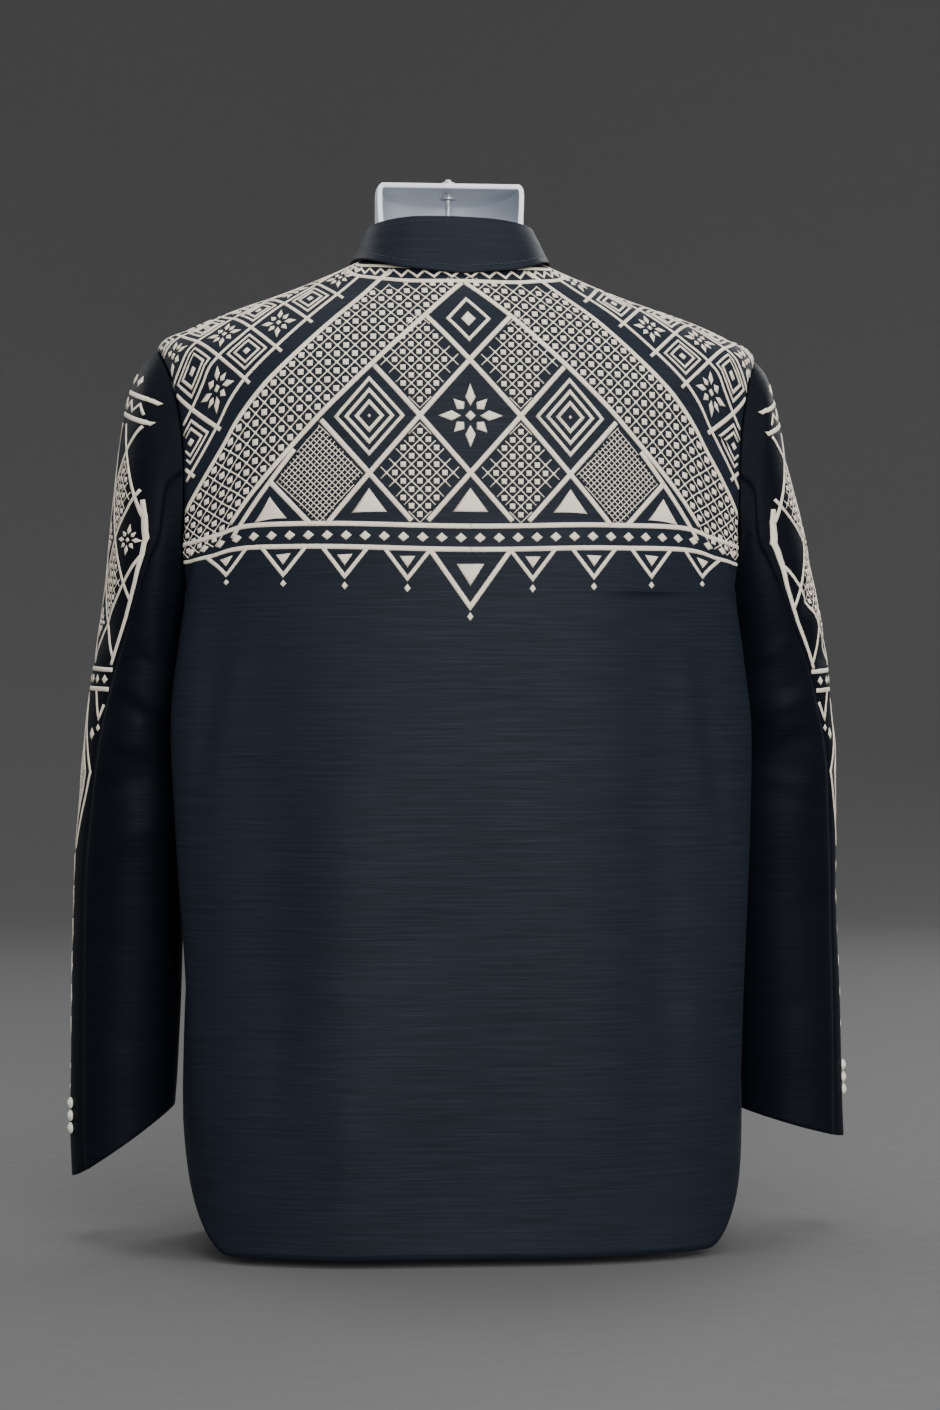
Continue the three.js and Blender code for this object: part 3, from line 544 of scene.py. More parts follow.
def body_section(row):
    """The section of the body at a row, cut away at the round armhole between the armpit and the tip."""
    angle = pi * clamp01(row - 1)
    rise = 1 + (1 - cos(angle)) / 2 if 1 < row < 2 else row
    section = table_at_row(BODY, rise)
    section.update(row=row, spread=ARMHOLE_SPREAD * sin(angle))
    return section


def body_rows():
    rows = [i / SKIRT_STEPS for i in range(SKIRT_STEPS)]
    rows += [1 + i / ARMHOLE_STEPS for i in range(ARMHOLE_STEPS)]
    return rows + [2 + i / SHOULDER_STEPS for i in range(SHOULDER_STEPS + 1)]


def crowd(t):
    """Brings the columns closer together towards the side seam."""
    return (1 + EDGE_CROWDING) * t - EDGE_CROWDING * t * t


class Panel:
    """A panel of cloth: its grid of points in millimetres, its normals, and its flat pattern."""

    def __init__(self, name, grid, flat, outward, creases=(), seams=()):
        self.name, self.grid, self.flat = name, grid, flat
        self.rows, self.columns = len(grid), len(grid[0])
        self.turned = self.faces_inward(outward)
        self.find_normals()
        self.press(creases, seams)
        self.find_normals()
        self.build_lookup()

    def faces_inward(self, outward):
        i, j = self.rows // 2, self.columns // 2
        along = self.grid[i][j + 1] - self.grid[i][j - 1]
        up = self.grid[i + 1][j] - self.grid[i - 1][j]
        return along.cross(up).dot(outward) < 0

    def find_normals(self):
        last_row, last_column = self.rows - 1, self.columns - 1
        self.normals = []
        for i in range(self.rows):
            line = []
            for j in range(self.columns):
                up = self.grid[min(last_row, i + 1)][j] - self.grid[max(0, i - 1)][j]
                along = self.grid[i][min(last_column, j + 1)] - self.grid[i][max(0, j - 1)]
                normal = along.cross(up).normalized()
                line.append(-normal if self.turned else normal)
            self.normals.append(line)

    def edge_distance(self, i, j, seams):
        u, v = self.flat[i][j]
        away = 1000.0
        for edge in seams:
            if edge == "first":
                away = min(away, abs(u - self.flat[i][0][0]))
            if edge == "last":
                away = min(away, abs(u - self.flat[i][-1][0]))
            if edge == "start":
                away = min(away, abs(v - self.flat[0][j][1]))
        return away

    def press(self, creases, seams):
        """Moves the grid along its normals for the creases, slack of the cloth and the tucked seams."""
        moves = []
        for i in range(self.rows):
            line = []
            for j in range(self.columns):
                u, v = self.flat[i][j]
                away = self.edge_distance(i, j, seams)
                rise = crease_height(u, v, creases) * smooth(SLACK_FROM_SEAM, SLACK_WHOLE, away)
                line.append(rise - SEAM_TUCK * hump(away, SEAM_TUCK_WIDTH))
            moves.append(line)
        for i, line in enumerate(moves):
            for j, move in enumerate(line):
                self.grid[i][j] = self.grid[i][j] + self.normals[i][j] * move

    def build_lookup(self):
        self.flat_points = [Vector((u, v, 0)) for line in self.flat for u, v in line]
        self.places = [p for line in self.grid for p in line]
        self.lifts = [p + n for p, n in zip(self.places, [n for line in self.normals for n in line])]
        self.triangles = []
        for i in range(self.rows - 1):
            for j in range(self.columns - 1):
                a = i * self.columns + j
                c = a + self.columns
                self.triangles += [(a, a + 1, c + 1), (a, c + 1, c)]
        self.tree = BVHTree.FromPolygons(self.flat_points, self.triangles)

    def at(self, u, v, lift):
        """The point in space over a place of the flat pattern, or None off the panel."""
        hit, _, index, _ = self.tree.ray_cast(Vector((u, v, 1)), Vector((0, 0, -1)))
        if hit is None:
            return None
        corners = self.triangles[index]
        flat = [self.flat_points[k] for k in corners]
        place = barycentric_transform(hit, *flat, *(self.places[k] for k in corners))
        above = barycentric_transform(hit, *flat, *(self.lifts[k] for k in corners))
        return place + (above - place).normalized() * lift

    def flat_area(self):
        area = 0.0
        for corners in self.triangles:
            a, b, c = (self.flat_points[k] for k in corners)
            area += (b - a).cross(c - a).length / 2
        return area * MM * MM

    def flat_size(self):
        spans = [[p[k] for p in self.flat_points] for k in (0, 1)]
        return tuple((max(span) - min(span)) * MM for span in spans)


def crease_height(u, v, creases):
    """Height of the creases and of the cloth's slack at a place of the flat pattern."""
    rise = SLACK * noise.noise(Vector((u / SLACK_LENGTH, v / (1.7 * SLACK_LENGTH), 0.3)))
    for crease in creases:
        turn = radians(crease["turn"])
        across = (u - crease["u"]) * cos(turn) + (v - crease["v"]) * sin(turn)
        along = (v - crease["v"]) * cos(turn) - (u - crease["u"]) * sin(turn)
        across += CREASE_WANDER * noise.noise(Vector((along / WANDER_LENGTH, crease["u"], crease["v"])))
        width = crease["width"] * (1 + CREASE_TAPER * along / crease["length"])
        rise += (CREASE_DEPTH * crease["depth"] * hump(across, max(CREASE_LEAST, width))
                 * hump(along, crease["length"] * CREASE_REACH))
    return rise


def body_flat(grid, centre_at):
    """Flat pattern of a body panel: across from the centre line, and up from the armpit's level."""
    flat = []
    for line in grid:
        across = [0.0]
        for j in range(1, len(line)):
            step = line[j] - line[j - 1]
            across.append(across[-1] + hypot(step.x, step.y))
        start = centre_at(across)
        flat.append([[u - start, 0.0] for u in across])
    for j in range(len(grid[0])):
        for i in range(SKIRT_STEPS + 1, len(grid)):
            step = grid[i][j] - grid[i - 1][j]
            flat[i][j][1] = flat[i - 1][j][1] + hypot(step.y, step.z) * (1 if step.z > 0 else -1)
        for i in range(SKIRT_STEPS - 1, -1, -1):
            step = grid[i + 1][j] - grid[i][j]
            flat[i][j][1] = flat[i + 1][j][1] - hypot(step.y, step.z)
    return flat


def back_panel():
    grid = []
    for row in body_rows():
        quarter = Quarter(body_section(row), True)
        line = []
        for j in range(-HALF_STEPS, HALF_STEPS + 1):
            share = crowd(abs(j) / HALF_STEPS) * (1 - SEAM / 2 / quarter.total)
            line.append(quarter.point(share, 1 if j >= 0 else -1))
        grid.append(line)
    flat = body_flat(grid, lambda across: across[HALF_STEPS])
    return Panel("back", grid, flat, Vector((0, 1, 0)), BACK_CREASES, ("first", "last"))


def front_panel(side):
    """A front, from its edge past the centre line to the side seam. The right one lies under the left."""
    grid, depths = [], []
    for row in body_rows():
        quarter = Quarter(body_section(row), False)
        line, under = [], []
        for j in range(HALF_STEPS + 1):
            share = mix(-OVERLAP / quarter.total, 1 - SEAM / 2 / quarter.total, crowd(j / HALF_STEPS))
            line.append(quarter.point(share, side))
            under.append(1 - smooth(UNDERLAP_FROM, UNDERLAP_TO, share * quarter.total))
        grid.append(line)
        depths.append(under)
    flat = body_flat(grid, lambda across: OVERLAP)
    name = "front_left" if side > 0 else "front_right"
    panel = Panel(name, grid, flat, Vector((0, -1, 0)), FRONT_CREASES, ("last",))
    if side < 0:
        for i, under in enumerate(depths):
            for j, share in enumerate(under):
                panel.grid[i][j] = panel.grid[i][j] - panel.normals[i][j] * UNDERLAP_DROP * share
        panel.find_normals()
        panel.build_lookup()
    return panel


def sleeve_point(section, angle, side):
    """A point of a sleeve's section. Angle 0 is the outer edge, 90 the back and 180 the side to the body."""
    turn = radians(angle)
    out = Vector((section["outX"], 0, section["outZ"]))
    inside = Vector((section["inX"], 0, section["inZ"]))
    point = (out + inside) / 2 + (out - inside) / 2 * cos(turn)
    point.y = section["y"] + section["depth"] * sin(turn)
    for crease in ELBOW_CREASES:
        away = angle - crease["turn"]
        line = crease["z"] + crease["slope"] * away
        push = crease["depth"] * hump(point.z - line, crease["width"]) * hump(away, crease["reach"])
        point.x += push * cos(turn) / 2
        point.y += push * sin(turn)
    point.x *= side
    return point


def armhole_loop(side):
    """The loop of the armhole: up the back from the armpit to the shoulder tip, and down the front."""
    loop = []
    for k in range(2 * ARMHOLE_STEPS):
        back = k <= ARMHOLE_STEPS
        step = k if back else 2 * ARMHOLE_STEPS - k
        quarter = Quarter(body_section(1 + step / ARMHOLE_STEPS), back)
        angle = 180 * (ARMHOLE_STEPS - step) / ARMHOLE_STEPS
        loop.append((quarter.point(1, side), angle if back else -angle, step / ARMHOLE_STEPS))
    return loop


def sleeve_rings(side):
    """Rings of a whole sleeve from the armhole to the cuff, each with the turn of its points in degrees."""
    loop = armhole_loop(side)
    whole = 2 * ARMHOLE_STEPS
    back_seam, front_seam = BACK_SEAM * ARMHOLE_STEPS, whole - FRONT_SEAM * ARMHOLE_STEPS
    rings, turns = [], []
    for number, section in enumerate(SLEEVES[side], 1):
        hold = 1 - smooth(0, HEAD_RINGS, number)
        turn_line = []
        for k, (_, angle, _) in enumerate(loop):
            if k <= back_seam:
                even = mix(180, section["seamBack"], k / back_seam)
            elif k <= front_seam:
                share = (k - back_seam) / (front_seam - back_seam)
                even = mix(section["seamBack"], section["seamFront"], share)
            else:
                even = mix(section["seamFront"], -180, (k - front_seam) / (whole - front_seam))
            turn_line.append(mix(even, angle, hold))
        turns.append(turn_line)
        rings.append([sleeve_point(section, turn, side) for turn in turn_line])
    first = []
    for k, (point, _, share) in enumerate(loop):
        along = (loop[(k + 1) % whole][0] - loop[k - 1][0]).normalized()
        away = rings[0][k] - point
        away = (away - along * away.dot(along)).normalized()
        gap = SEAM * (1 + smooth(*TIP_GAP, share))
        first.append(point + away * gap)
    return [first] + rings, [[angle for _, angle, _ in loop]] + turns


def sleeve_grid(side):
    """The fine grid of a whole sleeve, with its flat pattern: across from the outer line, and up as z."""
    rings, turns = sleeve_rings(side)
    count = len(rings)
    grid, angles = [], []
    for i in range((count - 1) * RING_STEPS + 1):
        ring, t = divmod(i, RING_STEPS)
        if ring == count - 1:
            ring, t = count - 2, RING_STEPS
        near = [min(count - 1, max(0, ring + n)) for n in (-1, 0, 1, 2)]
        share = t / RING_STEPS
        grid.append([spline_values(*(rings[n][k] for n in near), share) for k in range(len(rings[0]))])
        angles.append([mix(turns[near[1]][k], turns[near[2]][k], share) for k in range(len(rings[0]))])
    level = SLEEVE_LEVEL_RING * RING_STEPS
    flat = []
    for line, turn_line in zip(grid, angles):
        across = [0.0]
        for k in range(1, len(line) + 1):
            step = line[k % len(line)] - line[k - 1]
            across.append(across[-1] + hypot(step.x, step.y))
        k = next(n for n in range(1, len(line)) if turn_line[n] <= 0)
        share = turn_line[k - 1] / (turn_line[k - 1] - turn_line[k])
        middle = mix(across[k - 1], across[k], share)
        flat.append([[middle - u, 0.0] for u in across])
    for k in range(len(grid[0])):
        flat[level][k][1] = grid[level][k].z
        for i in range(level - 1, -1, -1):
            flat[i][k][1] = flat[i + 1][k][1] + (grid[i][k] - grid[i + 1][k]).length
        for i in range(level + 1, len(grid)):
            flat[i][k][1] = flat[i - 1][k][1] - (grid[i][k] - grid[i - 1][k]).length
    for line in flat:
        line[-1][1] = line[0][1]
    return grid, flat


def sleeve_panels(side):
    """The top sleeve and the under sleeve of one arm."""
    word = "left" if side > 0 else "right"
    grid, flat = sleeve_grid(side)
    whole = 2 * ARMHOLE_STEPS
    back_seam = int(BACK_SEAM * ARMHOLE_STEPS)
    front_seam = int(FRONT_SEAM * ARMHOLE_STEPS)
    panels = []
    for name, first, last, outward in (
        ("sleeve_top", back_seam, whole - front_seam, Vector((side, 0, 0))),
        ("sleeve_under", -front_seam, back_seam, Vector((-side, 0, 0))),
    ):
        columns = range(first, last + 1)
        points = [[line[k % whole].copy() for k in columns] for line in grid]
        pattern = []
        for line in flat:
            length = line[-1][0] - line[0][0]
            places = [(line[k % whole], length if k < 0 else 0) for k in columns]
            pattern.append([(u - back, v) for (u, v), back in places])
        for line in points:
            for end, inner in ((0, 1), (-1, -2)):
                line[end] = line[end] + (line[inner] - line[end]).normalized() * SEAM / 2
        panels.append(Panel(f"{name}_{word}", points, pattern, outward, SLEEVE_CREASES[side],
                            ("first", "last", "start")))
    return panels


def collar_line(place):
    """The neckline, the collar's fold line and its outer edge. Place runs from -1 to 1 round the back."""
    away = abs(place)
    side = -1 if place < 0 else 1
    made = table_at(COLLAR, away * (len(COLLAR) - 1))
    share = 2 * away if away <= 0.5 else mix(1, COLLAR_FRONT_SHARE, 2 * away - 1)
    neck = Quarter(body_section(3), away <= 0.5, True).point(share, side)
    fold = settle(Vector((side * made["foldX"], made["foldY"], made["foldZ"])))
    edge = settle(Vector((side * made["edgeX"], made["edgeY"], made["edgeZ"])))
    return neck, fold, edge


def collar_panels():
    """The upright stand and the fall that turns down over it."""
    probe = 0.01
    columns = []
    for j in range(-COLLAR_STEPS, COLLAR_STEPS + 1):
        place = j / COLLAR_STEPS
        neck, fold, edge = collar_line(place)
        step = collar_line(min(1, place + probe))[1] - collar_line(max(-1, place - probe))[1]
        out = Vector((step.y, -step.x, 0)).normalized()
        if out.dot(edge - fold) < 0:
            out.negate()
        up = out.cross(step).normalized()
        if up.z < 0:
            up.negate()
        columns.append((neck, fold, edge, out, up))
    stand = []
    for i in range(STAND_STEPS + 1):
        line = []
        for neck, fold, *_ in columns:
            foot = neck + (fold - neck).normalized() * STAND_FOOT
            line.append(foot.lerp(fold, i / STAND_STEPS))
        stand.append(line)
    fall = []
    for i in range((len(FALL) - 1) * FALL_STEPS + 1):
        made = table_at(FALL, i / FALL_STEPS)
        line = []
        for _, fold, edge, out, up in columns:
            point = fold + out * made["out"] + up * made["rise"]
            line.append(point.lerp(edge, clamp01(made["down"])))
        fall.append(line)
    stand_panel = Panel("collar_stand", stand, arc_flat(stand), Vector((0, 1, 0)))
    fall_panel = Panel("collar_fall", fall, arc_flat(fall), Vector((0, 1, 0.2)))
    return stand_panel, fall_panel


def arc_flat(grid):
    """Flat pattern of a strip: along its middle row from the centre, and down its columns."""
    middle = grid[len(grid) // 2]
    along = [0.0]
    for a, b in zip(middle, middle[1:]):
        along.append(along[-1] + (b - a).length)
    half = along[len(along) // 2]
    flat = [[(u - half, 0.0) for u in along]]
    for before, line in zip(grid, grid[1:]):
        flat.append([(u - half, flat[-1][j][1] - (line[j] - before[j]).length) for j, u in enumerate(along)])
    return flat


def deselect_all():
    for item in bpy.context.view_layer.objects:
        item.select_set(False)


def make_active(piece):
    deselect_all()
    piece.select_set(True)
    bpy.context.view_layer.objects.active = piece


def placed(point):
    """A point of the pattern in the frame, in metres."""
    return point * MM + ORIGIN


def new_piece(name, points, faces, uvs=None):
    """A mesh object at the origin from points in metres."""
    mesh = bpy.data.meshes.new(name)
    mesh.from_pydata(points, [], faces)
    if uvs is not None:
        layer = mesh.uv_layers.new(name="UVMap")
        for loop in mesh.loops:
            layer.data[loop.index].uv = uvs[loop.vertex_index]
    piece = bpy.data.objects.new(name, mesh)
    bpy.context.collection.objects.link(piece)
    for polygon in mesh.polygons:
        polygon.use_smooth = True
    return piece


def apply_modifier(piece, kind, **values):
    modifier = piece.modifiers.new(kind.title(), kind)
    for key, value in values.items():
        setattr(modifier, key, value)
    make_active(piece)
    bpy.ops.object.modifier_apply(modifier=modifier.name)


def round_off(piece, width, segments, angle):
    """Bevels the edges of a piece that are sharper than an angle."""
    apply_modifier(piece, "BEVEL", width=width * MM, segments=segments, limit_method="ANGLE",
                   angle_limit=radians(angle))


def hand_over(piece, material, node=None):
    """Gives a finished piece its material, and says how it rides and the node that it replaces."""
    piece.data.materials.append(material)
    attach(piece, "root")
    if node:
        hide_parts(node)


def sew_panel(panel, thickness, material):
    """Lays a grid of cloth out, shapes it to the panel and gives it its thickness."""
    deselect_all()
    bpy.ops.mesh.primitive_grid_add(x_subdivisions=panel.columns - 1, y_subdivisions=panel.rows - 1, size=1)
    piece = bpy.context.object
    piece.name = panel.name + "_cloth"
    mesh = piece.data
    mesh.name = piece.name
    for polygon in mesh.polygons:
        polygon.use_smooth = True
    layer = mesh.uv_layers[0]
    places = [placed(p) for p in panel.places]
    for vertex, place in zip(mesh.vertices, places):
        vertex.co = place
    for loop in mesh.loops:
        layer.data[loop.index].uv = panel.flat_points[loop.vertex_index].xy * MM
    if panel.turned:
        make_active(piece)
        bpy.ops.object.mode_set(mode="EDIT")
        bpy.ops.mesh.select_all(action="SELECT")
        bpy.ops.mesh.flip_normals()
        bpy.ops.object.mode_set(mode="OBJECT")
    apply_modifier(piece, "SOLIDIFY", thickness=thickness, offset=-1, use_even_offset=False)
    piece.data.materials.clear()
    hand_over(piece, material, panel.name)


PANELS = {}


def all_panels():
    """Every panel of the coat, worked out once."""
    if not PANELS:
        made = [back_panel(), front_panel(1), front_panel(-1)]
        made += [*sleeve_panels(1), *sleeve_panels(-1), *collar_panels()]
        PANELS.update({panel.name: panel for panel in made})
    return PANELS


class Shader:
    """A small helper that adds and links the nodes of one material."""

    def __init__(self, name):
        self.material = bpy.data.materials.new(name)
        self.material.use_nodes = True
        self.tree = self.material.node_tree
        self.tree.nodes.clear()
        self.output = self.tree.nodes.new("ShaderNodeOutputMaterial")
        self.surface = self.tree.nodes.new("ShaderNodeBsdfPrincipled")
        self.tree.links.new(self.surface.outputs[0], self.output.inputs["Surface"])

    def node(self, kind, sockets=None, **values):
        made = self.tree.nodes.new("ShaderNode" + kind)
        for key, value in values.items():
            setattr(made, key, value)
        for key, value in (sockets or {}).items():
            self.feed(made.inputs[key], value)
        return made

    def feed(self, socket, value):
        if isinstance(value, bpy.types.NodeSocket):
            self.tree.links.new(value, socket)
        else:
            socket.default_value = value

    def set(self, **values):
        for key, value in values.items():
            self.feed(self.surface.inputs[key.replace("_", " ")], value)

    def coordinates(self, source, scale):
        where = self.node("TexCoord").outputs[source]
        return self.node("Mapping", {"Vector": where, "Scale": scale}).outputs[0]

    def noise(self, vector, scale, detail=2.0, distortion=0.0):
        sockets = {"Vector": vector, "Scale": scale, "Detail": detail, "Distortion": distortion}
        return self.node("TexNoise", sockets).outputs["Fac"]

    def ramp(self, value, low, high, first, last):
        """Maps a value from low..high to a number or a colour from first..last."""
        if isinstance(first, tuple):
            made = self.node("ValToRGB", {"Fac": value})
            ends = made.color_ramp.elements
            ends[0].position, ends[0].color = low, (*first, 1)
            ends[1].position, ends[1].color = high, (*last, 1)
            return made.outputs["Color"]
        sockets = {"Value": value, "From Min": low, "From Max": high, "To Min": first, "To Max": last}
        return self.node("MapRange", sockets).outputs["Result"]

    def math(self, kind, a, b=0.5):
        made = self.node("Math", operation=kind)
        self.feed(made.inputs[0], a)
        self.feed(made.inputs[1], b)
        return made.outputs[0]

    def mix_colour(self, share, a, b, blend="MIX"):
        made = self.node("Mix", data_type="RGBA", blend_type=blend)
        self.feed(made.inputs["Factor"], share)
        self.feed(made.inputs[6], a if isinstance(a, bpy.types.NodeSocket) else (*a, 1))
        self.feed(made.inputs[7], b if isinstance(b, bpy.types.NodeSocket) else (*b, 1))
        return made.outputs[2]

    def bump(self, height, strength, distance, normal=None):
        sockets = {"Height": height, "Strength": strength, "Distance": distance}
        if normal is not None:
            sockets["Normal"] = normal
        return self.node("Bump", sockets).outputs["Normal"]


def tinted(colour, *factors):
    """A colour times one factor, or times one for each channel."""
    return tuple(c * f for c, f in zip(colour, factors * (3 // len(factors))))


def shantung(name, colour, gloss):
    """Dark satin-faced shantung: slubs run across the cloth, and the weft lies in fine ribs."""
    s = Shader(name)
    slub = s.noise(s.coordinates("UV", (16, 620, 1)), 1.0, 3.0, 0.4)
    long_slub = s.noise(s.coordinates("UV", (5, 260, 1)), 1.0, 2.0, 0.2)
    fibre = s.noise(s.coordinates("UV", (900, 3200, 1)), 1.0, 2.0)
    rib = s.node("TexWave", {"Vector": s.coordinates("UV", (1, 1, 1)), "Scale": 560.0, "Distortion": 1.2,
                             "Detail": 1.0, "Detail Scale": 0.3}, bands_direction="Y").outputs["Fac"]
    tone = s.noise(s.coordinates("UV", (1, 1, 1)), 7.0, 3.0)
    streak = s.ramp(slub, 0.38, 0.72, 0.0, 1.0)
    body = s.mix_colour(s.ramp(tone, 0.3, 0.7, 0.15, 0.75), tinted(colour, 0.72), colour)
    body = s.mix_colour(s.math("MULTIPLY", streak, 0.6), body, tinted(colour, 1.5))
    s.set(Base_Color=body)
    s.set(Roughness=s.ramp(s.math("ADD", streak, fibre), 0.2, 1.7, 0.62, 0.5))
    height = s.math("ADD", s.math("MULTIPLY", slub, 1.0), s.math("MULTIPLY", long_slub, 1.4))
    normal = s.bump(height, 0.30, 0.0004)
    normal = s.bump(s.math("ADD", s.math("MULTIPLY", rib, 0.5), fibre), 0.22, 0.00012, normal)
    s.set(Normal=normal, Specular_IOR_Level=gloss)
    s.set(Sheen_Weight=0.015, Sheen_Roughness=0.35, Sheen_Tint=(0.62, 0.72, 0.9, 1))
    return s.material


def rayon_thread(name, colour):
    """Cream rayon thread in satin stitch: the stitches lie across each bar."""
    s = Shader(name)
    where = s.coordinates("UV", (1, 1, 1))
    stitch = s.node("TexWave", {"Vector": where, "Scale": 640.0, "Distortion": 0.8, "Detail": 1.0,
                                "Detail Scale": 0.4}, bands_direction="Y").outputs["Fac"]
    lay = s.noise(s.coordinates("UV", (220, 1500, 1)), 1.0, 2.0)
    tone = s.noise(s.coordinates("Object", (1, 1, 1)), 46.0, 2.0)
    # The tan is painted shade in the grooves between stitches, and it also comes in at random as uneven tone
    shade = tinted(colour, 0.72, 0.66, 0.56)
    body = s.mix_colour(s.ramp(s.math("ADD", stitch, lay), 0.35, 1.1, 0.0, 1.0), shade, colour)
    body = s.mix_colour(s.ramp(tone, 0.35, 0.7, 0.0, 0.3), body, shade)
    s.set(Base_Color=body)
    s.set(Roughness=s.ramp(lay, 0.3, 0.7, 0.58, 0.42))
    s.set(Normal=s.bump(s.math("ADD", stitch, s.math("MULTIPLY", lay, 0.8)), 0.55, 0.0002))
    s.set(Specular_IOR_Level=0.5, Sheen_Weight=0.2, Sheen_Roughness=0.4)
    return s.material


def pearl(name, colour):
    """Pearly button: faint cloudy growth lines under a gloss."""
    s = Shader(name)
    where = s.coordinates("Object", (1, 1, 1))
    cloud = s.noise(where, 420.0, 4.0, 1.6)
    fine = s.noise(where, 1900.0, 2.0)
    warm, cool = tinted(colour, 1.0, 0.93, 0.84), tinted(colour, 0.86, 0.93, 1.0)
    s.set(Base_Color=s.mix_colour(s.ramp(cloud, 0.38, 0.62, 0.0, 1.0), warm, cool))
    s.set(Roughness=s.ramp(fine, 0.3, 0.7, 0.2, 0.34))
    s.set(Normal=s.bump(cloud, 0.12, 0.0002))
    s.set(Coat_Weight=0.6, Coat_Roughness=0.12, Subsurface_Weight=0.15, Subsurface_Scale=0.002)
    return s.material


def milky_plastic(name, colour):
    """Milky moulded plastic with a faint pebble, flow marks and handling scuffs."""
    s = Shader(name)
    where = s.coordinates("Object", (1, 1, 1))
    pebble = s.noise(where, 1300.0, 2.0)
    flow = s.noise(s.coordinates("Object", (6, 6, 2)), 3.0, 3.0, 0.8)
    scuff = s.noise(s.coordinates("Object", (90, 90, 500)), 1.0, 3.0, 0.4)
    s.set(Base_Color=s.mix_colour(s.ramp(flow, 0.35, 0.65, 0.0, 0.6), colour, tinted(colour, 0.86)))
    s.set(Roughness=s.math("ADD", s.ramp(pebble, 0.3, 0.7, 0.28, 0.4), s.ramp(scuff, 0.55, 0.75, 0.0, 0.14)))
    s.set(Normal=s.bump(pebble, 0.16, 0.0002))
    s.set(Subsurface_Weight=0.25, Subsurface_Scale=0.006, Subsurface_Radius=(1.0, 1.0, 1.0))
    return s.material


def zinc_plate(name, colour):
    """Zinc-plated steel: fine drawn lines, dull patches and a little dirt."""
    s = Shader(name)
    where = s.coordinates("Object", (1, 1, 1))
    patch = s.noise(where, 260.0, 3.0, 0.6)
    line = s.noise(s.coordinates("Object", (300, 300, 5200)), 1.0, 2.0)
    s.set(Base_Color=s.mix_colour(s.ramp(patch, 0.45, 0.75, 0.0, 0.7), colour, tinted(colour, 0.42)))
    s.set(Roughness=s.ramp(s.math("ADD", patch, s.math("MULTIPLY", line, 0.5)), 0.4, 1.0, 0.42, 0.6))
    s.set(Normal=s.bump(line, 0.2, 0.00008))
    s.set(Metallic=0.85)
    return s.material


def studio_paper(name, colour):
    """Matte grey paper of the studio sweep."""
    s = Shader(name)
    grain = s.noise(s.coordinates("Object", (1, 1, 1)), 60.0, 4.0)
    broad = s.noise(s.coordinates("Object", (1, 1, 1)), 0.6, 2.0)
    s.set(Base_Color=s.mix_colour(s.ramp(broad, 0.3, 0.7, 0.0, 1.0), colour, tinted(colour, 1.03)))
    s.set(Roughness=s.ramp(grain, 0.3, 0.7, 0.82, 0.95))
    s.set(Normal=s.bump(grain, 0.05, 0.0005))
    return s.material


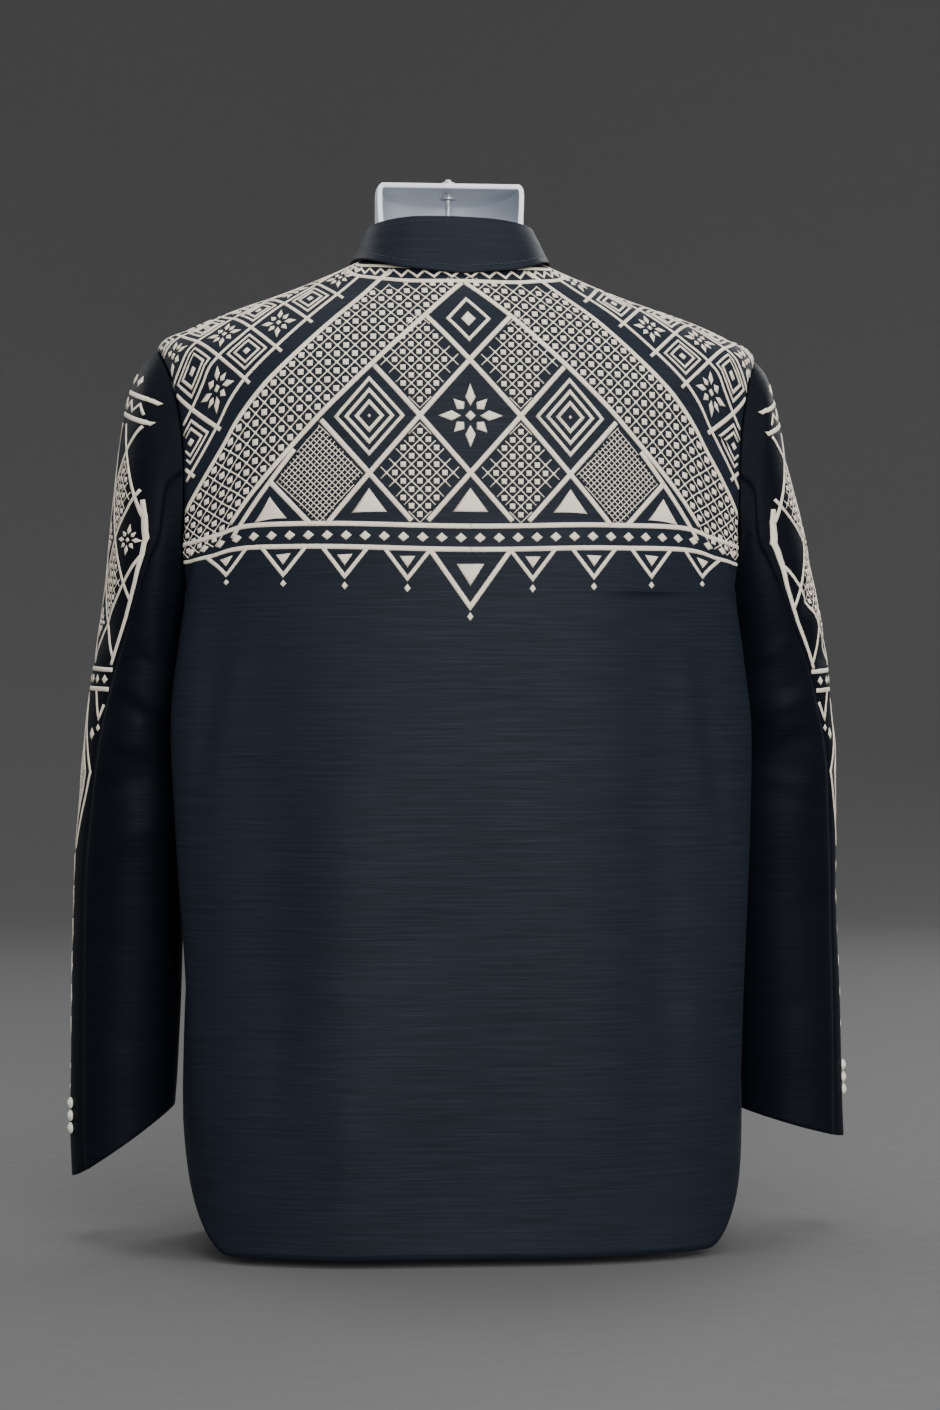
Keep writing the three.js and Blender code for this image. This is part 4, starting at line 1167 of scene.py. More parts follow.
class Stitches:
    """Raised stitching on one panel, gathered into one mesh. Places are in the flat pattern's millimetres."""

    def __init__(self, panel, height):
        self.panel, self.height = panel, height
        self.points, self.faces, self.uvs = [], [], []

    def section(self, width, height):
        if width < SINGLE_THREAD:
            return [(-0.5, STITCH_ROOT), (0.0, height), (0.5, STITCH_ROOT)]
        crown = BAR_CROWN * height
        return [(-0.5, STITCH_ROOT), (-BAR_FLAT, crown), (BAR_FLAT, crown), (0.5, STITCH_ROOT)]

    def bar(self, path, width, rise=1.0, closed_path=False, step=3.0):
        """A bar of satin stitch along a path. It stops where the panel ends."""
        samples = spread_path(path, step)
        if closed_path:
            samples = samples[:-1]
        shape = self.section(width, self.height * rise)
        ring, length = [], 0.0
        count = len(samples)
        first_ring = None
        for n, (u, v) in enumerate(samples):
            if closed_path:
                before, after = samples[n - 1], samples[(n + 1) % count]
            else:
                before, after = samples[max(0, n - 1)], samples[min(count - 1, n + 1)]
            along = Vector((after[0] - before[0], after[1] - before[1])).normalized()
            side = Vector((-along.y, along.x))
            stretch = 1.0
            if 0 < n < count - 1 or closed_path:
                incoming = Vector((u - before[0], v - before[1])).normalized()
                stretch = min(1.6, 1 / max(0.4, incoming.dot(along)))
            places = []
            for across, lift in shape:
                offset = side * (across * width * stretch)
                places.append(self.panel.at(u + offset.x, v + offset.y, lift))
            if n:
                length += hypot(u - samples[n - 1][0], v - samples[n - 1][1])
            if any(place is None for place in places):
                self.cap(ring)
                ring = []
                continue
            start = len(self.points)
            made = list(range(start, start + len(places)))
            self.points += [placed(place) for place in places]
            self.uvs += [(across * width * MM, length * MM) for across, _ in shape]
            if ring:
                self.join(ring, made)
            else:
                self.cap(made[::-1])
            ring = made
            first_ring = first_ring or (made if n == 0 else None)
        if closed_path and first_ring and ring and ring is not first_ring:
            self.join(ring, first_ring)
            return
        self.cap(ring)

    def cap(self, ring):
        if len(ring) > 2:
            self.faces.append(tuple(ring))

    def join(self, before, after):
        count = len(before)
        for k in range(count):
            m = (k + 1) % count
            self.faces.append((before[k], after[k], after[m], before[m]))

    def pad(self, outline, rise=1.0):
        """A filled shape of satin stitch, low at its edge and full in the middle."""
        count = len(outline)
        middle = (sum(p[0] for p in outline) / count, sum(p[1] for p in outline) / count)
        area = sum(a[0] * b[1] - b[0] * a[1] for a, b in zip(outline, outline[1:] + outline[:1]))
        if area < 0:
            outline = outline[::-1]
        longest = max(range(count), key=lambda n: hypot(outline[n][0] - middle[0], outline[n][1] - middle[1]))
        axis = Vector((outline[longest][0] - middle[0], outline[longest][1] - middle[1])).normalized()
        rings = [(0.0, STITCH_ROOT), (PAD_INSET, PAD_SHOULDER * self.height * rise)]
        rows = []
        for share, lift in rings:
            line = []
            for u, v in outline:
                place = (mix(u, middle[0], share), mix(v, middle[1], share))
                line.append((place, self.panel.at(*place, lift)))
            rows.append(line)
        centre = (middle, self.panel.at(*middle, self.height * rise))
        flat = [*rows[0], *rows[1], centre]
        if any(place is None for _, place in flat):
            return
        start = len(self.points)
        for (u, v), place in flat:
            self.points.append(placed(place))
            offset = Vector((u - middle[0], v - middle[1]))
            self.uvs.append(((offset.x * axis.y - offset.y * axis.x) * MM, offset.dot(axis) * MM))
        for k in range(count):
            m = (k + 1) % count
            self.faces.append((start + k, start + m, start + count + m, start + count + k))
            self.faces.append((start + count + k, start + count + m, start + 2 * count))
        self.faces.append(tuple(start + k for k in reversed(range(count))))

    def finish(self, name, material, slot="embroidery_thread"):
        piece = new_piece(name, self.points, self.faces, self.uvs)
        recalculate(piece)
        hand_over(piece, material)


def recalculate(piece):
    mesh = bmesh.new()
    mesh.from_mesh(piece.data)
    bmesh.ops.recalc_face_normals(mesh, faces=mesh.faces)
    mesh.to_mesh(piece.data)
    mesh.free()


def spread_path(path, step):
    """Points along a path, no further apart than a step, with its corners kept."""
    samples = [tuple(path[0])]
    for a, b in zip(path, path[1:]):
        length = hypot(b[0] - a[0], b[1] - a[1])
        count = max(1, round(length / step))
        samples += [(mix(a[0], b[0], n / count), mix(a[1], b[1], n / count)) for n in range(1, count + 1)]
    return samples


def inside(polygon, u, v):
    found = False
    for (ax, ay), (bx, by) in zip(polygon, polygon[1:] + polygon[:1]):
        if (ay > v) != (by > v) and u < (bx - ax) * (v - ay) / (by - ay) + ax:
            found = not found
    return found


def deep_inside(polygon, u, v, margin):
    places = [(u + margin * cos(pi * n / 4), v + margin * sin(pi * n / 4)) for n in range(8)]
    return all(inside(polygon, *place) for place in places)


def clipped_line(polygon, a, b, step=1.5):
    """The stretches of a line from a to b that lie inside a polygon."""
    count = max(2, round(hypot(b[0] - a[0], b[1] - a[1]) / step))
    stretches, current = [], []
    for n in range(count + 1):
        place = (mix(a[0], b[0], n / count), mix(a[1], b[1], n / count))
        if inside(polygon, *place):
            current.append(place)
        elif current:
            stretches.append(current)
            current = []
    if current:
        stretches.append(current)
    return [(s[0], s[-1]) for s in stretches if len(s) > 2]


def diamond(u, v, half_width, half_height):
    return [(u + half_width, v), (u, v + half_height), (u - half_width, v), (u, v - half_height)]


def ring_of(polygon):
    return polygon + polygon[:1]


def star(stitches, u, v, radius):
    """An eight-pointed star of kite petals round a small diamond."""
    for n in range(8):
        angle = pi / 2 + pi * n / 4
        reach = radius if n % 2 == 0 else 0.74 * radius
        away = Vector((cos(angle), sin(angle)))
        side = Vector((-away.y, away.x))
        near, wide, far = 0.26 * radius, 0.56 * reach, reach
        spread = 0.17 * radius
        stitches.pad([
            (u + away.x * near, v + away.y * near),
            (u + away.x * wide - side.x * spread, v + away.y * wide - side.y * spread),
            (u + away.x * far, v + away.y * far),
            (u + away.x * wide + side.x * spread, v + away.y * wide + side.y * spread),
        ])
    stitches.pad(diamond(u, v, 0.17 * radius, 0.17 * radius), 1.2)


def nested(stitches, u, v, half_width, half_height, width, gap):
    """Diamonds inside each other, down to a filled one."""
    while min(half_width, half_height) > 2.2 * gap:
        stitches.bar(ring_of(diamond(u, v, half_width, half_height)), width, closed_path=True, step=6)
        scale = 1 - 2.0 * gap / min(half_width, half_height)
        half_width *= scale
        half_height *= scale
    stitches.pad(diamond(u, v, 0.8 * half_width, 0.8 * half_height))


def net(stitches, polygon, pitch, width):
    """A fine crossed net of single threads that fills a polygon."""
    low_u, high_u = min(p[0] for p in polygon), max(p[0] for p in polygon)
    low_v, high_v = min(p[1] for p in polygon), max(p[1] for p in polygon)
    for slope in (1.0, -1.0):
        run = (high_v - low_v) / abs(slope)
        place = floor((low_u - run) / pitch) * pitch
        while place < high_u + run:
            far = place + (high_v - low_v) / slope
            for a, b in clipped_line(polygon, (place, low_v), (far, high_v)):
                stitches.bar([a, b], width, 0.55, step=6)
            place += pitch


def lattice(stitches, polygon, origin, turn, pitch):
    """A close grid that fills a polygon: outlined squares, each with a filled diamond and corner knots."""
    along = Vector((cos(turn), sin(turn)))
    across = Vector((-along.y, along.x))
    reach = int(max(hypot(p[0] - origin[0], p[1] - origin[1]) for p in polygon) / pitch) + 2
    span = reach * pitch
    for n in range(-reach, reach + 1):
        for main, cross in ((along, across), (across, along)):
            a = Vector(origin) + cross * n * pitch - main * span
            b = Vector(origin) + cross * n * pitch + main * span
            for start, end in clipped_line(polygon, a, b):
                stitches.bar([start, end], 0.14 * pitch, 0.6, step=5)
    half = 0.36 * pitch
    for n in range(-reach, reach):
        for m in range(-reach, reach):
            middle = Vector(origin) + along * (n + 0.5) * pitch + across * (m + 0.5) * pitch
            if deep_inside(polygon, *middle, 0.42 * pitch):
                corners = [along * half, across * half, along * -half, across * -half]
                stitches.pad([tuple(middle + c) for c in corners], 0.9)
            corner = Vector(origin) + along * n * pitch + across * m * pitch
            if deep_inside(polygon, *corner, 0.3 * pitch):
                small = 0.2 * pitch
                knots = [along * small, across * small, along * -small, across * -small]
                stitches.pad([tuple(corner + c) for c in knots], 0.95)


def diaper(stitches, region, centre, half_width, half_height, bar, fills):
    """A diaper of large diamonds over a region, each filled by its turn: star, nested, net or lattice."""
    whole = 2 * DIAPER_REACH
    for direction in (1, -1):
        rise = direction * whole * half_height
        for n in range(-whole, whole + 1, 2):
            start = (centre[0] + (n - whole) * half_width + half_width, centre[1] - rise)
            end = (centre[0] + (n + whole) * half_width + half_width, centre[1] + rise)
            for a, b in clipped_line(region, start, end):
                stitches.bar([a, b], bar)
    for n in range(-DIAPER_REACH, DIAPER_REACH + 1):
        for m in range(-DIAPER_REACH, DIAPER_REACH + 1):
            if (n + m) % 2:
                continue
            u, v = centre[0] + n * half_width, centre[1] + m * half_height
            cell = diamond(u, v, half_width - bar, half_height - bar)
            if not all(inside(region, *mix_place(corner, (u, v), 0.25)) for corner in cell):
                continue
            fill = fills[(abs(n) + 2 * abs(m)) % len(fills)]
            if fill == "star":
                star(stitches, u, v, 0.66 * min(half_width, half_height))
            elif fill == "nested":
                nested(stitches, u, v, 0.66 * half_width, 0.66 * half_height, 0.7 * bar, 0.9 * bar)
            elif fill == "net":
                net(stitches, cell, 4.6, 1.0)
            elif fill == "lattice":
                lattice(stitches, cell, (u, v), pi / 4, 8.6)


def mix_place(a, b, t):
    return mix(a[0], b[0], t), mix(a[1], b[1], t)


def dags(stitches, border_at, places, bar):
    """Points that hang from the border: a triangle with a smaller one and a bead inside."""
    for u, half, drop in places:
        top = border_at(u)
        stitches.bar([(u - half, border_at(u - half)), (u, top - drop), (u + half, border_at(u + half))], bar)
        high, low = top - 0.24 * drop, top - 0.66 * drop
        stitches.pad([(u - 0.36 * half, high), (u + 0.36 * half, high), (u, low)])
        stitches.pad(diamond(u, top - drop - 7, 2.6, 3.4))


def yoke(stitches, front, bar, pitch):
    """The yoke of one body panel: slanting lattice bands, a diaper of diamonds, a border and its dags."""
    turn = radians(BAND_TURN)
    away = Vector((cos(turn), sin(turn)))
    across = Vector((away.y, -away.x))
    far = away * BAND_LENGTH

    def border_at(u):
        return BORDER_V + BORDER_BEND * u * u

    for side in ((1,) if front else (1, -1)):
        def turned(places, side=side):
            return [(side * p[0], p[1]) for p in places]

        outer = Vector(BAND_TOP)
        inner = outer + across * BAND_WIDTH
        limit = [(0, 44), (300, 74), (300, 300), (0, 300)]
        corners = [tuple(corner) for corner in (outer, outer + far, inner + far, inner - away * 60)]
        band_area = turned(clip_above(corners, YOKE_FOOT))
        lattice(stitches, band_area, (side * outer.x, outer.y), side * turn, pitch)
        for line in ((outer - away * 24, outer + far), (inner - away * 54, inner + far)):
            for a, b in clipped_line(limit, *line):
                stitches.bar(turned([a, b]), bar)
        triangle = turned([(79, 240), (79, 300), (330, 300), tuple(outer + far + Vector((9, 4)))])
        diaper(stitches, triangle, (side * 168, 186), 23, 23, 0.72 * bar, ("nested", "star"))
        border = [(u, border_at(u)) for u in range(-12 if front else 0, 285, 8)]
        for lift in (0, BORDER_DEPTH):
            stitches.bar(turned([(u, v + lift) for u, v in border]), bar)
        places = [(side * u, 17, 22) for u in (46, 92, 138, 184)]
        dags(stitches, border_at, places, 0.8 * bar)
        for n in range(-1 if front else 0, 20):
            u = 7 + 14 * n
            stitches.pad(diamond(side * u, border_at(u) + 8.5, 4.6, 3.9))
    return border_at, inner, away


def clip_above(polygon, level):
    """The part of a polygon above a level."""
    made = []
    for (ax, ay), (bx, by) in zip(polygon, polygon[1:] + polygon[:1]):
        if ay >= level:
            made.append((ax, ay))
        if (ay >= level) != (by >= level):
            made.append((mix(ax, bx, (level - ay) / (by - ay)), level))
    return made


def neck_ring(stitches, bar):
    """Two bars with a zigzag between them, below the neckline."""
    line = stitches.panel.flat[-1]
    paths = [[(u, v - drop) for u, v in line[::2]] for drop in (13, 29)]
    for path in paths:
        stitches.bar(path, bar)
    count = len(paths[0])
    path = []
    for n in range(count):
        near, far = paths[0][n], paths[1][n]
        path.append(mix_place(near, far, 0.28 if n % 2 else 0.72))
    stitches.bar(path, 0.55 * bar, step=4)


def back_embroidery(panel, bar, height, pitch):
    stitches = Stitches(panel, height)
    neck_ring(stitches, bar)
    border_at, inner, away = yoke(stitches, False, bar, pitch)
    run = (inner.y - YOKE_FOOT) / -away.y
    corner = inner + away * run
    lift = inner - away * ((234 - inner.y) / -away.y)
    half = max(4, lift.x + 6)
    centre = [(half, 230), (corner.x - 8, YOKE_FOOT), (-corner.x + 8, YOKE_FOOT), (-half, 230)]
    diaper(stitches, centre, (0, 128), 37, 42, bar, ("star", "net", "nested", "lattice"))
    nested(stitches, 0, 203, 15, 17, 0.7 * bar, 0.9 * bar)
    for u in (-148, -74, 0, 74, 148):
        stitches.pad([(u - 14, 57), (u + 14, 57), (u, 76)])
    dags(stitches, border_at, [(0, 30, 42)], bar)
    return stitches


def front_embroidery(panel, bar, height, pitch):
    stitches = Stitches(panel, height)
    neck_ring(stitches, bar)
    yoke(stitches, True, bar, pitch)
    for n in range(6):
        v = 62 + 22 * n
        nested(stitches, 34, v, 10, 10, 0.6 * bar, 2.6)
    for u in (21, 47):
        stitches.bar([(u, YOKE_FOOT), (u, 190)], 0.8 * bar)
    centre = [(49, YOKE_FOOT), (49, 186), (190, YOKE_FOOT)]
    diaper(stitches, centre, (90, 92), 30, 34, 0.8 * bar, ("star", "nested"))
    return stitches


def sleeve_field(panel, low, high, inset):
    """The part of a top sleeve between two heights of its flat pattern, clear of its seams."""
    back = [(line[0][0] - inset, line[0][1]) for line in reversed(panel.flat) if line[0][1] > low]
    head = [(u * (1 - inset / 100), v - inset) for u, v in panel.flat[0]]
    front = [(line[-1][0] + inset, line[-1][1]) for line in panel.flat if line[-1][1] > low]
    return [(u, min(v, high)) for u, v in [*back, *head, *front]]


def sleeve_embroidery(panel, bar, height, _pitch):
    """Bars and a zigzag on the sleeve head, a diaper of diamonds below it, and beads towards the cuff."""
    stitches = Stitches(panel, height)
    whole = sleeve_field(panel, FIELD_FOOT, HEAD_TOP, SEAM_INSET)
    for drop in (0, 17):
        line = [(u, 662 - drop - HEAD_BEND * u * u) for u in range(-120, 121, 4)]
        stitches.bar([place for place in line if inside(whole, *place)], bar)
    teeth = [(7 * n, (650 if n % 2 else 657) - HEAD_BEND * (7 * n) ** 2) for n in range(-17, 18)]
    stitches.bar([place for place in teeth if inside(whole, *place)], 0.55 * bar)
    for n in range(5):
        u = 14 * (n - 2)
        stitches.pad(diamond(u, 673 - HEAD_BEND * u * u, 4.6, 5.2))
    field = sleeve_field(panel, FIELD_FOOT, FIELD_TOP, SEAM_INSET)
    diaper(stitches, field, (40, 584), 20, 34, 0.7 * bar, ("lattice", "net", "nested", "star"))
    stitches.bar([(u, v) for u, v in field if u > 0 and v < 585], 0.8 * bar)
    stitches.bar([(u, v) for u, v in field if u < 0 and v < 500], 0.8 * bar)
    for v in (444, 428):
        stitches.bar([(u, v) for u in range(-120, 90, 5)], bar)
    for n in range(12):
        stitches.pad(diamond(-77 + 14 * n, 436, 4.6, 4.2))
    for u in (-70, -46, 46, 70):
        stitches.bar([(u - 10, 427), (u, 404), (u + 10, 427)], 0.7 * bar)
        stitches.pad(diamond(u, 397, 2.6, 3.4))
    stitches.bar(ring_of(diamond(0, LENS_V, 27, 60)), bar, closed_path=True)
    net(stitches, diamond(0, LENS_V, 24, 54), 4.6, 1.1)
    star(stitches, 0, LENS_V, 14)
    for side in (1, -1):
        stitches.bar([(side * 12, 420), (side * 38, LENS_V), (side * 12, 302)], 0.8 * bar)
        for n in range(4):
            stitches.pad(diamond(side * (46 - 6 * abs(n - 1.5)), 392 - 20 * n, 4.4, 5.6))
    for n in range(6):
        nested(stitches, 0, 286 - 25 * n, 9 - 0.5 * n, 11 - 0.5 * n, 0.6 * bar, 2.6)
    for n in range(4):
        stitches.pad(diamond(0, 132 - 16 * n, 3, 3.8))
    return stitches


def topstitching(panel, inset):
    """A row of single stitches along the lower edge of the collar's fall."""
    stitches = Stitches(panel, TOPSTITCH_HEIGHT)
    path = spread_path([(u, v + inset) for u, v in panel.flat[-1]], 1.0)
    along, next_stitch = 0.0, 0.0
    for a, b in zip(path, path[1:]):
        along += hypot(b[0] - a[0], b[1] - a[1])
        if along >= next_stitch:
            way = Vector((b[0] - a[0], b[1] - a[1])).normalized() * TOPSTITCH_LENGTH
            stitches.bar([a, (a[0] + way.x, a[1] + way.y)], TOPSTITCH_WIDTH, step=TOPSTITCH_LENGTH / 2)
            next_stitch += TOPSTITCH_PITCH
    return stitches


def torso_rings():
    """Outer rings of the torso from the base to the top of the neck, each with whether the coat covers it."""
    skirt, chest, shoulders = TORSO_ROWS
    rows = [n / skirt for n in range(skirt)] + [1 + n / chest for n in range(1, chest)]
    rows += [2 + n / shoulders for n in range(shoulders - 2)]
    rings = [(torso_ring(row), True) for row in rows]
    for n in range((len(NECK) - 1) * NECK_STEPS + 1):
        made = table_at(NECK, n / NECK_STEPS)
        made.update(boxy=NECK_BOXY, spread=0, drape=0, row=3)
        rings.append((closed_ring(made, 1, 1, False), False))
    return rings


def closed_ring(section, width, depth, settles, level=None, bulge=0.0):
    """One closed ring of the torso, from the back's centre round by the left, the front and the right."""
    quarters = [Quarter(section, back, True) for back in (True, False)]

    def point(back, share, side):
        if settles:
            made = quarters[0 if back else 1].point(share * SHOULDER_SHARE, side)
            made.x *= width
            made.y *= depth
            if level is not None:
                made.z = level
            return made
        x, y, z = quarters[0 if back else 1].flat(share * SHOULDER_SHARE)
        return lean(Vector((x * side, y, z)))

    def half(side):
        steps = TORSO_HALF_STEPS
        points = [point(True, (j / steps) ** TORSO_CROWDING, side) for j in range(1, steps + 1)]
        for j in range(1, DOME_STEPS):
            made = point(True, 1, side).lerp(point(False, 1, side), j / DOME_STEPS)
            made.x += side * bulge * sin(pi * j / DOME_STEPS)
            points.append(made)
        return points + [point(False, (j / steps) ** TORSO_CROWDING, side) for j in range(steps, 0, -1)]

    return [point(True, 0, 1), *half(1), point(False, 0, 1), *reversed(half(-1))]


def torso_ring(row):
    slim = table_at_row(TORSO_SLIM, row)
    level = body_section(1)["sideZ"] * row if row < 1 else None
    bulge = DOME_BULGE * sin(pi * (row - 1)) if 1 < row < 2 else 0.0
    return closed_ring(body_section(row), slim["width"], slim["depth"], True, level, bulge)


def open_arc(ring, count):
    """The stretch of a ring in front of the torso's open back, as evenly spaced points."""
    size = len(ring)
    first = next(k for k in range(size) if ring[k].y < TORSO_BACK_Y)
    last = next(k for k in range(size - 1, 0, -1) if ring[k].y < TORSO_BACK_Y)
    path = [cut_at_back(ring[first - 1], ring[first])] + ring[first:last + 1]
    path.append(cut_at_back(ring[(last + 1) % size], ring[last]))
    lengths = [0.0]
    for a, b in zip(path, path[1:]):
        lengths.append(lengths[-1] + (b - a).length)
    made = []
    for n in range(count):
        away = lengths[-1] * n / (count - 1)
        i = min(len(path) - 2, max(0, bisect_left(lengths, away) - 1))
        made.append(path[i].lerp(path[i + 1], (away - lengths[i]) / (lengths[i + 1] - lengths[i])))
    return made


def cut_at_back(behind, before):
    return behind.lerp(before, (behind.y - TORSO_BACK_Y) / (behind.y - before.y))


def torso_skins(count):
    """The outer and inner skin of the torso, as rows of points round its front between the back edges."""
    rings = torso_rings()
    size = len(rings[0][0])
    skins = []
    for depth, base, top in ((0, 0, TORSO_TOP_Z), (TORSO_WALL, TORSO_WALL, TORSO_TOP_Z - TORSO_WALL)):
        skin = []
        for i, (ring, covered) in enumerate(rings):
            above, below = rings[min(len(rings) - 1, i + 1)][0], rings[max(0, i - 1)][0]
            moved = []
            for j, point in enumerate(ring):
                along = ring[(j + 1) % size] - ring[j - 1]
                normal = along.cross(above[j] - below[j]).normalized()
                inward = 0.0
                if covered:
                    share = 1 - abs((j % (size // 2)) / (size // 4) - 1)
                    inward = CLOTH + REST_GAP + CHEST_EASE * (1 - share)
                made = point + normal * (inward + depth)
                if i == 0:
                    made.z = base
                if i == len(rings) - 1:
                    made.z = top
                moved.append(made)
            skin.append(open_arc(moved, count))
        skins.append(skin)
    return skins


def bare_torso(material):
    """The moulded, hollow-backed torso with its floor, neck plate and rounded rim."""
    count = TORSO_COLUMNS
    outer, inner = torso_skins(count)
    rows = len(outer)
    points = [placed(p) for skin in (outer, inner) for line in skin for p in line]
    shift = rows * count
    faces = []
    for i in range(rows - 1):
        for j in range(count - 1):
            a, c = i * count + j, (i + 1) * count + j
            faces.append((a, a + 1, c + 1, c))
            faces.append((a + shift, c + shift, c + 1 + shift, a + 1 + shift))
        for j in (0, count - 1):
            a, c = i * count + j, (i + 1) * count + j
            faces.append((a, c, c + shift, a + shift))
    for i in (0, rows - 1):
        start = i * count
        faces.append(tuple(range(start, start + count)))
        faces.append(tuple(range(start + shift, start + shift + count)))
        faces.append((start, start + count - 1, start + count - 1 + shift, start + shift))
    piece = new_piece("moulded_torso", points, faces)
    recalculate(piece)
    round_off(piece, RIM_BEVEL, 3, RIM_ANGLE)
    make_active(piece)
    bpy.ops.object.shade_smooth_by_angle(angle=radians(TORSO_ANGLE))
    hand_over(piece, material, "torso")


def turned_solid(name, sides, radius, profile):
    """A turned solid along Z by extruding a disc: profile holds (share of the radius, height) pairs."""
    deselect_all()
    share, height = profile[0]
    bpy.ops.mesh.primitive_circle_add(vertices=sides, radius=radius * share, fill_type="NGON",
                                      location=(0, 0, height))
    piece = bpy.context.object
    piece.name = name
    bpy.ops.object.transform_apply(location=True)
    bpy.ops.object.mode_set(mode="EDIT")
    bpy.ops.mesh.select_all(action="SELECT")
    for before, after in zip(profile, profile[1:]):
        bpy.ops.mesh.extrude_region_move(TRANSFORM_OT_translate={"value": (0, 0, after[1] - before[1])})
        grow = after[0] / before[0]
        bpy.ops.transform.resize(value=(grow, grow, 1), center_override=(0, 0, after[1]))
    bpy.ops.mesh.select_all(action="SELECT")
    bpy.ops.mesh.normals_make_consistent(inside=False)
    bpy.ops.object.mode_set(mode="OBJECT")
    for polygon in piece.data.polygons:
        polygon.use_smooth = True
    return piece


def pearl_buttons(prefix, panel, radius, material):
    """Pearly domed buttons, modelled once and set square on the cloth at each button's place."""
    depth = radius * BUTTON_DEPTH
    profile = [(share, high * depth * MM) for share, high in BUTTON_PROFILE]
    model = turned_solid("button_model", 36, radius * MM, profile)
    tree = BVHTree.FromPolygons(panel.places, panel.triangles)
    for node in sorted(n for n in frame["nodes"] if n.startswith(prefix)):
        low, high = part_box(node)
        centre = (Vector(low) + Vector(high)) / 2
        seat, normal, _, _ = tree.find_nearest((centre - ORIGIN) / MM)
        if panel.turned:
            normal = -normal
        piece = bpy.data.objects.new(node + "_pearl", model.data.copy())
        bpy.context.collection.objects.link(piece)
        turn = Vector((0, 0, 1)).rotation_difference(normal).to_matrix().to_4x4()
        piece.data.transform(Matrix.Translation(placed(seat + normal * SEAM)) @ turn)
        hand_over(piece, material, node)
    bpy.data.objects.remove(model)


def threaded_stud(material):
    """The hanger stud: a bar with chamfered ends and a thread of close rings."""
    low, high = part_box("hanger_stud")
    length = (high[2] - low[2]) / MM
    turns = int((length - 2 * STUD_END) / THREAD_PITCH)
    profile = [(0.6, 0.0), (0.8, 0.4)]
    for n in range(turns):
        base = STUD_END + n * THREAD_PITCH
        profile += [(0.86, base), (1.0, base + 0.4 * THREAD_PITCH), (1.0, base + 0.6 * THREAD_PITCH)]
    profile += [(0.84, length - 0.5), (0.62, length)]
    piece = turned_solid("threaded_stud", 24, STUD_RADIUS * MM, [(s, h * MM) for s, h in profile])
    middle = (Vector(low) + Vector(high)) / 2
    piece.data.transform(Matrix.Translation((middle.x, middle.y, low[2])))
    finish_metal(piece, material, "hanger_stud")


def finish_metal(piece, material, node):
    make_active(piece)
    bpy.ops.object.shade_smooth_by_angle(angle=radians(METAL_ANGLE))
    hand_over(piece, material, node)


def flanged_nut(node, material):
    """A chamfered hexagon nut with a round flange at its foot."""
    low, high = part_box(node)
    middle = (Vector(low) + Vector(high)) / 2
    deselect_all()
    bpy.ops.mesh.primitive_cylinder_add(vertices=6, radius=NUT_RADIUS * MM, depth=high[2] - low[2],
                                        location=middle)
    body = bpy.context.object
    bpy.ops.object.transform_apply(location=True)
    round_off(body, NUT_BEVEL, 3, METAL_ANGLE)
    deselect_all()
    bpy.ops.mesh.primitive_cylinder_add(vertices=48, radius=FLANGE_RADIUS * MM, depth=FLANGE_HEIGHT * MM,
                                        location=(middle.x, middle.y, low[2] + FLANGE_HEIGHT / 2 * MM))
    flange = bpy.context.object
    bpy.ops.object.transform_apply(location=True)
    round_off(flange, FLANGE_BEVEL, 2, METAL_ANGLE)
    deselect_all()
    flange.select_set(True)
    body.select_set(True)
    bpy.context.view_layer.objects.active = body
    bpy.ops.object.join()
    body.name = node + "_flanged"
    finish_metal(body, material, node)


def photo_camera():
    """The photograph's view: level, from behind and a little to the wearer's left."""
    turn = radians(CAMERA_TURN)
    towards = Vector((sin(turn), cos(turn), 0))
    right = Vector((-cos(turn), sin(turn), 0))
    data = bpy.data.cameras.new("photo_camera")
    data.sensor_fit = "VERTICAL"
    data.sensor_height = SENSOR
    data.sensor_width = SENSOR
    data.lens = SENSOR * CAMERA_DISTANCE / (MM_PER_PIXEL * IMAGE_HEIGHT)
    data.clip_start = 0.05
    data.clip_end = 50
    camera = bpy.data.objects.new("photo_camera", data)
    bpy.context.collection.objects.link(camera)
    camera.location = placed(towards * CAMERA_DISTANCE + right * CAMERA_SHIFT + Vector((0, 0, CAMERA_Z)))
    camera.rotation_euler = (-towards).to_track_quat("-Z", "Y").to_euler()
    bpy.context.scene.camera = camera


def studio_lights():
    target = Vector(LIGHT_TARGET)
    for n, light in enumerate(LIGHTS, 1):
        data = bpy.data.lights.new(f"softbox_{n}", "AREA")
        data.shape = "SQUARE"
        data.size = light["size"]
        data.energy = light["power"]
        lamp = bpy.data.objects.new(data.name, data)
        bpy.context.collection.objects.link(lamp)
        lamp.location = (light["x"], light["y"], light["z"])
        lamp.rotation_euler = (target - lamp.location).to_track_quat("-Z", "Y").to_euler()


def studio_sweep(radius, material):
    """A round floor that curves up into a wall all round."""
    bend = SWEEP_BEND
    profile = [(0.02, 0.0), (0.5, 0.0), (1.5, 0.0), (radius - bend, 0.0)]
    for n in range(1, SWEEP_STEPS + 1):
        angle = pi / 2 * n / SWEEP_STEPS
        profile.append((radius - bend + bend * sin(angle), bend - bend * cos(angle)))
    profile.append((radius, SWEEP_HEIGHT))
    points, faces, count = [], [], SWEEP_SIDES
    for away, z in profile:
        points += [(away * cos(2 * pi * k / count), away * sin(2 * pi * k / count), z) for k in range(count)]
    for i in range(len(profile) - 1):
        for k in range(count):
            m = (k + 1) % count
            faces.append((i * count + k, i * count + m, (i + 1) * count + m, (i + 1) * count + k))
    faces.append(tuple(range(count)))
    sweep = new_piece("studio_sweep", points, faces)
    sweep.data.materials.append(material)


